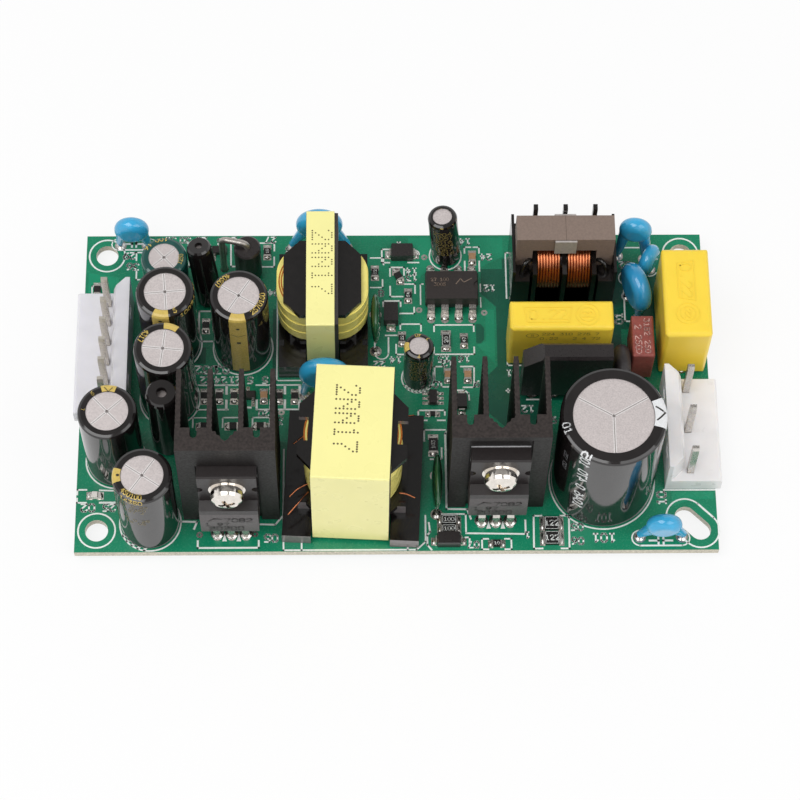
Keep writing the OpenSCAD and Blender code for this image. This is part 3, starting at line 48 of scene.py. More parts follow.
TOP = board_high.z / MM                   # the board's upper face, in mm
BACK, FRONT, RIGHT = board_high.y / MM, board_low.y / MM, board_high.x / MM

# heights of flat layers above the face that they lie on, in mm
MASK_LIFT, PAD_LIFT, SILK_LIFT, MARK_LIFT = 0.006, 0.012, 0.018, 0.02
PRINT_LIFT, OVERPRINT_LIFT = 0.025, 0.04

WHITE = (1, 1, 1, 1)


def link(o):
    bpy.context.scene.collection.objects.link(o)
    return o


# ------------------------------------------------------------------ camera

CAMERA_ELEVATION, CAMERA_TURN, CAMERA_ROLL = 64.858, 1.915, 1.511     # degrees
CAMERA_TARGET, CAMERA_DISTANCE = (0.805, -2.2), 0.50755               # mm on the board, metres
CAMERA_LENS, SENSOR_WIDTH = 125.76, 36


def make_camera():
    """Looks down at the front of the board, slightly turned and rolled."""
    cam = bpy.data.cameras.new("camera")
    cam.lens, cam.sensor_width = CAMERA_LENS, SENSOR_WIDTH
    cam.clip_start, cam.clip_end = 0.01, 20
    aim = Matrix.Translation((CAMERA_TARGET[0] * MM, CAMERA_TARGET[1] * MM, board_high.z))
    for angle, axis in ((-CAMERA_TURN, "Z"), (90 - CAMERA_ELEVATION, "X"), (CAMERA_ROLL, "Z")):
        aim = aim @ Matrix.Rotation(radians(angle), 4, axis)
    o = link(bpy.data.objects.new("camera", cam))
    o.matrix_world = aim @ Matrix.Translation((0, 0, CAMERA_DISTANCE))
    bpy.context.scene.camera = o


make_camera()
bpy.context.scene.view_settings.view_transform = "Standard"


# --------------------------------------------------------------- materials

def dim(c, k):
    """A colour scaled by k."""
    return tuple(min(1.0, x * k) for x in c)


class Mat:
    """A principled material with helpers for procedural colour, roughness and bump."""

    def __init__(self, name, color, rough, metal=0.0, **sockets):
        self.m = bpy.data.materials.new(name)
        self.m.use_nodes = True
        self.t = self.m.node_tree
        self.n, self.l = self.t.nodes, self.t.links
        self.b = self.n["Principled BSDF"]
        values = {"Base Color": (*color, 1), "Roughness": rough, "Metallic": metal, **sockets}
        for k, v in values.items():
            self.b.inputs[k.replace("_", " ")].default_value = v
        self.m.diffuse_color = (*color, 1)
        self.coord = self.n.new("ShaderNodeTexCoord").outputs["Object"]

    def node(self, kind, **kw):
        nd = self.n.new(kind)
        for k, v in kw.items():
            if k in nd.inputs:
                nd.inputs[k].default_value = v
            else:
                setattr(nd, k, v)
        return nd

    def noise(self, scale, detail=3):
        nd = self.node("ShaderNodeTexNoise", Scale=scale, Detail=detail, Roughness=0.5)
        self.l.new(self.coord, nd.inputs["Vector"])
        return nd.outputs["Fac"]

    def ramp(self, src, low, high, start=0.3, end=0.7):
        nd = self.n.new("ShaderNodeValToRGB")
        for el, p, c in zip(nd.color_ramp.elements, (start, end), (low, high)):
            el.position, el.color = p, (*c, 1)
        self.l.new(src, nd.inputs["Fac"])
        return nd.outputs["Color"]

    def vary(self, scale, low, high):
        """Colour from low to high by noise."""
        self.l.new(self.ramp(self.noise(scale), low, high), self.b.inputs["Base Color"])

    def vary_rough(self, scale, low, high):
        self.l.new(self.ramp(self.noise(scale, 2), (low,) * 3, (high,) * 3), self.b.inputs["Roughness"])

    def bump(self, scale, dist):
        nd = self.node("ShaderNodeBump", Strength=1.0, Distance=dist)
        self.l.new(self.noise(scale), nd.inputs["Height"])
        self.l.new(nd.outputs["Normal"], self.b.inputs["Normal"])

    def blend(self, mask, color, scale, spread):
        """Another colour, itself varied by noise, where the mask is 1."""
        mix = self.node("ShaderNodeMix", data_type="RGBA")
        old = self.b.inputs["Base Color"].links[0].from_socket
        new = self.ramp(self.noise(scale, 4), dim(color, 1 - spread), dim(color, 1 + spread))
        for src, slot in ((mask, "Factor"), (old, 6), (new, 7)):
            self.l.new(src, mix.inputs[slot])
        self.l.new(mix.outputs[2], self.b.inputs["Base Color"])

    def by_facing(self, axis, low, high, color, scale, spread=0.15):
        """Another colour where the normal lies along an axis, fading in from low to high."""
        xyz, size = self.node("ShaderNodeSeparateXYZ"), self.node("ShaderNodeMath", operation="ABSOLUTE")
        self.l.new(self.n.new("ShaderNodeNewGeometry").outputs["Normal"], xyz.inputs[0])
        self.l.new(xyz.outputs[axis], size.inputs[0])
        self.blend(self.ramp(size.outputs[0], (0, 0, 0), (1, 1, 1), low, high), color, scale, spread)

    def by_place(self, axis, limit, color, scale, spread=0.15):
        """Another colour where the part's own coordinate, in mm, is below a limit."""
        xyz, cut = self.node("ShaderNodeSeparateXYZ"), self.node("ShaderNodeMath", operation="LESS_THAN")
        self.l.new(self.coord, xyz.inputs[0])
        self.l.new(xyz.outputs[axis], cut.inputs[0])
        cut.inputs[1].default_value = limit * MM
        self.blend(cut.outputs[0], color, scale, spread)


# colour, roughness, metal, grain of the colour and its spread, spread of the roughness,
# grain of the bump and its depth in thousandths of a mm; make_material has the usual last three
MATERIALS = {
    "board_green": ((0.56, 0.51, 0.4), 0.24, 0, 1800, 0.2, 0.08, 1400, 3),
    "mask_dark": ((0.005, 0.105, 0.06), 0.24, 0, 260, 0.1, 0.08, 1400, 3),
    "copper_under_mask": ((0.009, 0.275, 0.142), 0.24, 0, 260, 0.08, 0.08, 1400, 3),
    "silk_white": ((0.8, 0.83, 0.8), 0.6, 0, 3000, 0.08),
    "solder": ((0.66, 0.63, 0.6), 0.26, 1, 1500, 0.18, 0.12, 2200, 20),
    "pad_tin": ((0.6, 0.57, 0.53), 0.32, 1, 1800, 0.2, 0.12, 3000, 15),
    "tin": ((0.66, 0.63, 0.59), 0.3, 1, 2500, 0.12, 0.1, 3500, 6),
    "lead_dull": ((0.42, 0.39, 0.36), 0.42, 0.9, 2500, 0.15, 0.1, 3500, 6),
    "clip_steel": ((0.6, 0.56, 0.54), 0.45, 0.6, 2500, 0.1, 0.1, 3500, 4),
    "tin_warm": ((0.66, 0.62, 0.55), 0.34, 0.8, 1500, 0.1, 0.08, 3500, 4),
    "white_nylon": ((0.76, 0.75, 0.79), 0.38, 0, 300, 0.03, 0.08, 900, 6),
    "white_nylon_warm": ((0.86, 0.84, 0.84), 0.34, 0, 300, 0.03, 0.08, 900, 6),
    "can_top": ((0.66, 0.6, 0.59), 0.46, 0.55, 4200, 0.13, 0.08, 9000, 6),
    # painted highlight and painted shade of the cans' vent lines; the shade grey also colours the rods' ground ends
    "score_painted_highlight": ((0.86, 0.83, 0.82), 0.35, 0.4, 4000, 0.08),
    "painted_score_shade_and_ground_ferrite": ((0.36, 0.32, 0.31), 0.45, 0.5, 4000, 0.15),
    "sleeve_black": ((0.01, 0.008, 0.008), 0.08, 0, 400, 0.3, 0.03, 700, 7),
    "sleeve_green": ((0.01, 0.008, 0.008), 0.08, 0, 400, 0.2, 0.03, 700, 7),
    "gold_print": ((0.6, 0.44, 0.11), 0.33, 0, 2600, 0.1, 0.1, 2500, 4),
    "gold_dim": ((0.2, 0.155, 0.05), 0.35, 0, 2600, 0.2, 0.1, 2500, 4),
    "white_print": ((0.72, 0.73, 0.74), 0.35, 0, 3000, 0.08),
    "white_dim": ((0.22, 0.22, 0.23), 0.4, 0, 3000, 0.15),
    "ink": ((0.02, 0.017, 0.014), 0.4, 0, 3000, 0.2),
    "ink_brown": ((0.115, 0.085, 0.035), 0.6, 0, 2200, 0.25),
    "mark_brown": ((0.2, 0.145, 0.11), 0.5, 0, 2500, 0.2),
    "mark_grey": ((0.045, 0.042, 0.043), 0.5, 0, 2500, 0.2),
    "mark_pink": ((0.6, 0.36, 0.33), 0.5, 0, 2500, 0.12),
    "mark_olive": ((0.33, 0.235, 0.045), 0.5, 0, 1400, 0.2),
    "varnish_black": ((0.01, 0.009, 0.008), 0.1, 0, 900, 0.3, 0.05, 1600, 20),
    "rubber": ((0.02, 0.02, 0.02), 0.7, 0, 2000, 0.2),
    "anodised": ((0.0125, 0.0105, 0.01), 0.5, 0.1, 1500, 0.2, 0.08, 2600, 8),
    "mould_grey": ((0.026, 0.02, 0.02), 0.36, 0, 2500, 0.14, 0.08, 4200, 6),
    "device_left": ((0.017, 0.013, 0.013), 0.38, 0, 2500, 0.14, 0.08, 4200, 6),
    "device_right": ((0.017, 0.013, 0.013), 0.38, 0, 2500, 0.14, 0.08, 4200, 6),
    "chip_mould": ((0.024, 0.018, 0.017), 0.46, 0, 2500, 0.14, 0.08, 5000, 6),
    "mould_black": ((0.018, 0.014, 0.014), 0.34, 0, 2500, 0.15, 0.08, 4200, 6),
    "nickel": ((0.82, 0.77, 0.71), 0.13, 1, 1200, 0.08, 0.06, 1500, 5),
    "pad_grey": ((0.42, 0.42, 0.43), 0.6, 0, 2000, 0.12),
    "ferrite": ((0.205, 0.15, 0.122), 0.6, 0, 2600, 0.09, 0.08, 5200, 9),
    "ferrite_dark": ((0.03, 0.025, 0.025), 0.55, 0, 2600, 0.16, 0.08, 5200, 8),
    "bobbin": ((0.006, 0.0048, 0.0045), 0.17, 0, 900, 0.3, 0.06, 330, 22),
    "bobbin_painted_light": ((0.006, 0.0048, 0.0045), 0.17, 0, 900, 0.3, 0.06, 330, 22),
    "tape": ((0.88, 0.83, 0.34), 0.3, 0, 160, 0.02, 0.05, 140, 12),
    "tape_coil": ((0.9, 0.79, 0.22), 0.28, 0, 300, 0.1, 0.08, 420, 20),
    "copper": ((0.52, 0.18, 0.078), 0.2, 0.95, 900, 0.16, 0.06, 0, 0),
    "copper_enamel": ((0.66, 0.2, 0.03), 0.25, 0.5, 900, 0.2, 0.06, 0, 0),
    "box_yellow": ((0.92, 0.66, 0.055), 0.33, 0, 240, 0.025, 0.05, 1500, 6),
    "coat_blue": ((0.036, 0.37, 0.65), 0.14, 0, 320, 0.1, 0.05, 380, 40),
    "coat_blue_deep": ((0.024, 0.27, 0.52), 0.14, 0, 320, 0.1, 0.05, 380, 40),
    "coat_black": ((0.028, 0.023, 0.024), 0.5, 0, 1800, 0.2, 0.08, 2600, 20),
    "fuse_red": ((0.26, 0.06, 0.048), 0.45, 0, 1200, 0.12, 0.08, 3000, 8),
    "coat_green": ((0.02, 0.095, 0.04), 0.12, 0, 500, 0.25, 0.05, 420, 50),
    "chip_black": ((0.014, 0.012, 0.012), 0.3, 0, 3000, 0.12),
    "chip_brown": ((0.44, 0.25, 0.13), 0.45, 0, 3000, 0.12),
    "led_white": ((0.78, 0.74, 0.7), 0.35, 0, 1200, 0.05),
}
THICK = {"Subsurface_Weight": 0.25, "Subsurface_Scale": 1.0}
SOCKETS = {
    "board_green": {"IOR": 1.5}, "sleeve_black": {"IOR": 1.62}, "sleeve_green": {"IOR": 1.6},
    "mould_grey": {"IOR": 1.6}, "mould_black": {"IOR": 1.55}, "bobbin": {"IOR": 1.6}, "bobbin_painted_light": {"IOR": 1.6},
    "anodised": {"Specular_IOR_Level": 0.3},
    "white_nylon": {**THICK, "Subsurface_Radius": (0.002, 0.002, 0.0025)},
    "white_nylon_warm": {**THICK, "Subsurface_Radius": (0.0025, 0.002, 0.0016)},
    "box_yellow": {**THICK, "Subsurface_Weight": 0.08, "Subsurface_Radius": (0.002, 0.001, 0.0005)},
    "tape": {"Coat_Weight": 0.15, "Coat_Roughness": 0.2}, "coat_green": {"Coat_Weight": 0.6, "Coat_Roughness": 0.04},
    "coat_blue": {"Coat_Weight": 0.5, "Coat_Roughness": 0.05},
    "coat_blue_deep": {"Coat_Weight": 0.5, "Coat_Roughness": 0.05},
}
M = {}


def make_material(key, color, rough, metal, grain, spread, rough_spread=0.08, bump_grain=2500, depth=4):
    m = M[key] = Mat(key, color, rough, metal, **SOCKETS.get(key, {}))
    m.vary(grain, dim(color, 1 - spread), dim(color, 1 + spread))
    m.vary_rough(grain * 1.7, max(0.02, rough - rough_spread), min(1, rough + rough_spread))
    if depth:
        m.bump(bump_grain, depth * 1e-6)


for key, row in MATERIALS.items():
    make_material(key, *row)
# bare laminate along the cut edges and in the holes; on the heat sinks, painted light from above: their upward faces,
# the fin tops among them, are painted paler, with some wear on the fin edges
M["board_green"].by_facing("Z", 0.3, 0.9, (0.008, 0.225, 0.115), 260, 0.10)
M["anodised"].by_facing("Z", 0.6, 0.95, (0.032, 0.025, 0.023), 2200, 0.4)
# of the smaller sleeves only the one at the back left is green
M["sleeve_green"].by_place("X", -20, (0.011, 0.072, 0.062), 400, 0.2)
# the power devices' thick lower blocks are paler than their tabs
M["device_left"].by_place("Z", 15.6, (0.066, 0.056, 0.057), 2500)
M["device_right"].by_place("Z", 17.1, (0.060, 0.050, 0.051), 2500)
# painted light: the main bobbin's faces that look forward or back, its front feet among them, are painted paler than
# the rest of the black bobbin
M["bobbin_painted_light"].by_facing("Y", 0.9, 0.99, (0.15, 0.13, 0.13), 900)

WORN_BY = {                               # material: its nodes; every other node is tinned
    "board_green": "circuit_board", "solder": "solder_joints", "white_nylon_warm": "input_header",
    "white_nylon": "output_header", "can_top": "bulk_capacitor_can output_capacitor_cans small_capacitor_cans",
    "sleeve_black": "bulk_capacitor_sleeve output_capacitor_sleeves rod_choke_sleeves",
    "sleeve_green": "small_capacitor_sleeves", "rubber": "capacitor_seals",
    "anodised": "switch_heatsink rectifier_heatsink", "device_right": "switch_transistor",
    "device_left": "rectifier_diode", "nickel": "clamp_screws clamp_washers", "pad_grey": "insulating_pads",
    "ferrite_dark": "main_transformer_core aux_transformer_core", "bobbin_painted_light": "main_transformer_bobbin",
    "bobbin": "aux_transformer_bobbin line_choke_bobbin",
    "tape_coil": "main_transformer_winding aux_transformer_winding",
    "tape": "main_transformer_tape aux_transformer_tape", "ferrite": "line_choke_core",
    "copper": "line_choke_windings", "box_yellow": "x_capacitors",
    "mould_black": "bridge_rectifier upright_diode smd_packages", "coat_black": "inrush_thermistor",
    "fuse_red": "fuse", "coat_blue": "disc_capacitors", "coat_blue_deep": "varistor", "coat_green": "film_capacitors",
    "chip_mould": "controller_ic", "clip_steel": "line_choke_clip", "lead_dull": "axial_leads",
    "mould_grey": "rod_choke_cores", "chip_black": "chip_resistors", "chip_brown": "chip_capacitors",
    "tin_warm": "output_header_pins", "led_white": "status_led",
}
material_of = {name: key for key, names in WORN_BY.items() for name in names.split()}
for name, o in nodes.items():
    o.data.materials.clear()
    o.data.materials.append(M[material_of.get(name, "tin")].m)


# ------------------------------------------------------------------- shapes

def islands(name):
    """Lowest and highest corner, in mm, of each separate solid of a node."""
    me = nodes[name].data
    co = np.empty(len(me.vertices) * 3)
    me.vertices.foreach_get("co", co)
    co = co.reshape(-1, 3) / MM
    _, weld = np.unique(np.round(co, 3), axis=0, return_inverse=True)
    weld = weld.ravel()
    ed = np.empty(len(me.edges) * 2, int)
    me.edges.foreach_get("vertices", ed)
    ed = weld[ed].reshape(-1, 2)
    label = np.arange(weld.max() + 1)
    while True:
        low = np.minimum(label[ed[:, 0]], label[ed[:, 1]])
        new = label.copy()
        np.minimum.at(new, ed[:, 0], low)
        np.minimum.at(new, ed[:, 1], low)
        new = new[new]
        if (new == label).all():
            break
        label = new
    out = []
    for k in np.unique(label):
        pts = co[label[weld] == k]
        out.append((Vector(pts.min(0)), Vector(pts.max(0))))
    return sorted(out, key=lambda b: (round(b[0].x, 2), round(b[0].y, 2)))


def near(boxes, x, y):
    """The box whose middle is closest to a spot on the board."""
    return min(boxes, key=lambda b: hypot(mid(b).x - x, mid(b).y - y))


def mid(b):
    return (b[0] + b[1]) / 2


def in_mm(box):
    return box[0] / MM, box[1] / MM


def cos_sin(degrees):
    return cos(radians(degrees)), sin(radians(degrees))


def circle(n):
    """n points round a circle of radius 1."""
    return [cos_sin(360 * i / n) for i in range(n)]


GLYPH = {                                 # plain numerals as pen strokes on a 4 by 6 grid
    "0": [[(1, 0), (3, 0), (4, 1.2), (4, 4.8), (3, 6), (1, 6), (0, 4.8), (0, 1.2), (1, 0)]],
    "1": [[(0.8, 4.8), (2.1, 6), (2.1, 0)], [(0.9, 0), (3.3, 0)]],
    "2": [[(0, 4.8), (1, 6), (3, 6), (4, 5), (4, 4), (0, 0), (4, 0)]],
    "3": [[(0.2, 6), (4, 6), (2, 3.7), (3, 3.5), (4, 2.5), (4, 1), (3, 0), (1, 0), (0, 1)]],
    "4": [[(3.1, 0), (3.1, 6), (0, 1.9), (4.2, 1.9)]],
    "5": [[(3.9, 6), (0.5, 6), (0.2, 3.4), (2.8, 3.7), (4, 2.6), (4, 1.1), (3, 0), (1, 0), (0, 0.9)]],
    "6": [[(3.6, 5.7), (1.6, 5), (0, 2.6), (0, 1.1), (1, 0), (3, 0), (4, 1.1), (4, 2.4), (3, 3.4), (1, 3.3),
           (0.1, 2.3)]],
    "7": [[(0, 6), (4, 6), (1.5, 0)]],
    "8": [[(1, 3.2), (0, 4.2), (0, 5.1), (1, 6), (3, 6), (4, 5.1), (4, 4.2), (3, 3.2), (1, 3.2), (0, 2.2), (0, 1),
           (1, 0), (3, 0), (4, 1), (4, 2.2), (3, 3.2)]],
    "9": [[(0.4, 0.3), (2.4, 1), (4, 3.4), (4, 4.9), (3, 6), (1, 6), (0, 4.9), (0, 3.6), (1, 2.6), (3, 2.7),
           (3.9, 3.7)]],
    "-": [[(0.6, 3), (3.4, 3)]], "+": [[(0.4, 3), (3.6, 3)], [(2, 4.6), (2, 1.4)]], ".": [[(1.8, 0.1), (2.2, 0.1)]],
    " ": [],
}
DOTS = {                                  # each row of five dots as a byte
    "0": "0E111915131111", "1": "040C040404040E", "2": "0E11010204081F", "7": "1F010204080808",
}


class Art:
    """Flat shapes in mm on a (u, v) plane, laid later on a surface of the part."""

    def __init__(self, weight=1.0):
        self.faces, self.weight = [], weight

    def poly(self, *pts):
        self.faces.append(list(pts))

    def rect(self, u0, v0, u1, v1):
        self.poly((u0, v0), (u1, v0), (u1, v1), (u0, v1))

    def line(self, pts, w=0.24):
        w *= self.weight
        for (ax, ay), (bx, by) in zip(pts, pts[1:]):
            n = hypot(bx - ax, by - ay)
            if n > 1e-6:
                dx, dy = (bx - ax) / n * w / 2, (by - ay) / n * w / 2
                self.poly((ax - dx + dy, ay - dy - dx), (bx + dx + dy, by + dy - dx),
                          (bx + dx - dy, by + dy + dx), (ax - dx - dy, ay - dy + dx))

    def ring(self, cu, cv, r, w=0.24, a0=0, a1=360, n=0, ry=None):
        ry = ry or r
        n = n or max(6, int(abs(a1 - a0) * r / 30))
        at = [radians(a0 + (a1 - a0) * i / n) for i in range(n + 1)]
        for a, b in zip(at, at[1:]):
            p = [(cu + (r + k) * cos(t), cv + (ry + k) * sin(t))
                 for t, k in ((a, w / 2), (b, w / 2), (b, -w / 2), (a, -w / 2))]
            self.poly(*reversed(p))

    def disc(self, cu, cv, r, n=14):
        self.poly(*[(cu + r * x, cv + r * y) for x, y in circle(n)])

    def text(self, s, u, v, h, w=None, angle=0):
        """Numerals h tall, centred on (u, v)."""
        k, pitch = h / 6, 5.6
        ca, sa = cos_sin(angle)
        start = (1.6 - pitch * len(s)) / 2
        for i, c in enumerate(s):
            for st in GLYPH[c]:
                pts = [((start + i * pitch + x) * k, (y - 3) * k) for x, y in st]
                self.line([(u + x * ca - y * sa, v + x * sa + y * ca) for x, y in pts], w or h * 0.15)

    def texts(self, u, v, *rows):
        """Rows of numerals, each with its offset from (u, v), height and width of the stroke."""
        for s, du, dv, h, w in rows:
            self.text(s, u + du, v + dv, h, w)

    def dots(self, s, pu, pv, r):
        """Dot-matrix numerals, 5 by 7 dots each, with the dots pu and pv apart."""
        for i, c in enumerate(s):
            for j, row in enumerate(bytes.fromhex(DOTS[c])):
                for k in range(5):
                    if row >> (4 - k) & 1:
                        self.disc((i * 6 + k - (6 * len(s) - 1) / 2 + 0.5) * pu, (3 - j) * pv, r, 8)

    def build(self, name, mat, place, slot, step=0.0):
        """place(u, v) gives the spot in mm; step caps the length of an edge on a curved surface."""
        bm = bmesh.new()
        for f in self.faces:
            bm.faces.new([bm.verts.new((*p, 0)) for p in f])
        if step:
            bmesh.ops.triangulate(bm, faces=[f for f in bm.faces if len(f.verts) > 4])
            for _ in range(8):
                cut = [e for e in bm.edges if e.calc_length() > step]
                if not cut:
                    break
                bmesh.ops.subdivide_edges(bm, edges=cut, cuts=1, use_grid_fill=True)
        for v in bm.verts:
            v.co = Vector(place(v.co.x, v.co.y)) * MM
        return keep(bm, name, mat)

    def raised(self, name, mat, place, slot, h):
        """The same shapes as prisms h tall; each ends a hair above the last, so none lie in one plane."""
        bm = bmesh.new()
        for k, f in enumerate(self.faces):
            up = Vector((0, 0, h + 0.003 * (k % 7)))
            lo = [bm.verts.new(Vector(place(*p)) * MM) for p in f]
            hi = [bm.verts.new((Vector(place(*p)) + up) * MM) for p in f]
            bm.faces.new(hi)
            skin(bm, (lo, hi))
        return keep(bm, name, mat)


def keep(bm, name, mat, smooth=False):
    """Makes a scene piece of a mesh, with its material."""
    me = bpy.data.meshes.new(name)
    bm.to_mesh(me)
    bm.free()
    me.materials.append(M[mat].m)
    for p in me.polygons:
        p.use_smooth = smooth
    o = link(bpy.data.objects.new(name, me))
    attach(o, "root")
    return o


def flat(z, cx=0.0, cy=0.0, turn=0.0):
    """A level plane at height z whose origin lies at (cx, cy)."""
    ca, sa = cos_sin(turn)
    return lambda u, v: (cx + u * ca - v * sa, cy + u * sa + v * ca, z)


def join(name, parts):
    """Makes one object of several; it keeps a material slot for each of their materials."""
    ob, me, bm, mats = parts[0], parts[0].data, bmesh.new(), []
    for o in parts:
        mat, k = o.data.materials[0], len(bm.faces)
        if mat not in mats:
            mats.append(mat)
        bm.from_mesh(o.data)
        bm.faces.ensure_lookup_table()
        for f in bm.faces[k:]:
            f.material_index = mats.index(mat)
    for o in parts[1:]:
        bpy.data.objects.remove(o)
    me.materials.clear()
    for mat in mats:
        me.materials.append(mat)
    bm.to_mesh(me)
    bm.free()
    ob.name = me.name = name


def skin(bm, rows, cap=False):
    """Quads between closed rows of vertices; cap closes both ends."""
    for a, b in zip(rows, rows[1:]):
        for i in range(len(a)):
            j = (i + 1) % len(a)
            bm.faces.new((a[i], a[j], b[j], b[i]))
    if cap:
        bm.faces.new(list(reversed(rows[0])))
        bm.faces.new(rows[-1])


def dome(bm, c, r, segments=10, rings=5):
    """Half an ellipsoid standing on the plane z = c[2], all in mm."""
    rows = []
    for j in range(rings):
        t = pi / 2 * j / rings
        rows.append([bm.verts.new(((c[0] + r[0] * cos(t) * x) * MM, (c[1] + r[1] * cos(t) * y) * MM,
                                   (c[2] + r[2] * sin(t)) * MM)) for x, y in circle(segments)])
    tip = bm.verts.new((c[0] * MM, c[1] * MM, (c[2] + r[2]) * MM))
    skin(bm, rows)
    for i in range(segments):
        bm.faces.new((rows[-1][i], rows[-1][(i + 1) % segments], tip))


def tube(bm, pts, r, n=8):
    """A smooth wire of radius r through the points, in mm."""
    pts = [Vector(p) for p in pts]
    fine = []
    for i in range(len(pts) - 1):
        p0, p1, p2, p3 = pts[max(i - 1, 0)], pts[i], pts[i + 1], pts[min(i + 2, len(pts) - 1)]
        for k in range(6):
            t = k / 6
            fine.append(0.5 * ((2 * p1) + (p2 - p0) * t + (2 * p0 - 5 * p1 + 4 * p2 - p3) * t * t
                               + (3 * p1 - p0 - 3 * p2 + p3) * t ** 3))
    fine.append(pts[-1])
    side, rows = None, []
    for i, p in enumerate(fine):
        d = (fine[min(i + 1, len(fine) - 1)] - fine[max(i - 1, 0)]).normalized()
        if side is None:
            side = d.orthogonal().normalized()
        side = (side - d * side.dot(d)).normalized()
        up = d.cross(side)
        rows.append([bm.verts.new((p + (side * x + up * y) * r) * MM) for x, y in circle(n)])
    skin(bm, rows, cap=True)


class Sleeve:
    """A shrink sleeve's outer face: u runs round it, v > 0 in over the rim, v < 0 down the side."""

    def __init__(self, box, lip, lean=None):
        c = mid(box)
        self.r = (box[1].x - box[0].x) / 2
        self.lip = self.r - lip
        self.foot, self.head = Vector((c.x, c.y, box[0].z)), Vector((c.x, c.y, box[1].z))
        if lean:                          # a leaning can: its own radius, and the ends of its axis
            self.r = lean
            s = sin(radians(6.4)) * lean
            self.foot = Vector((box[1].x - lean, box[0].y + lean, box[0].z + s))
            self.head = Vector((box[0].x + lean, box[1].y - lean, box[1].z - s))
            self.lip = self.r - lip
        self.axis = (self.head - self.foot).normalized()
        self.e1 = (Vector((1, 0, 0)) - self.axis * self.axis.x).normalized()
        self.e2 = self.axis.cross(self.e1)

    def at(self, angle, lift=PRINT_LIFT):
        def place(u, v):
            a = radians(angle) + u / self.r
            if v >= 0:
                rho, h = self.r - 0.6 - v, lift
            elif v > -0.93:
                t = -v / 0.93
                f, g = min(1, 2 * t), max(0, 2 * t - 1)
                rho = self.r - 0.6 + 0.42 * f + 0.18 * g + lift * min(1, 1.4 * t)
                h = -0.2 * f - 0.43 * g + lift * min(1, 1.4 - 1.4 * t)
            else:
                rho, h = self.r + lift, v + 0.3
            return self.head + self.e1 * rho * cos(a) + self.e2 * rho * sin(a) + self.axis * h
        return place


# ------------------------------------------------------ printing on the board

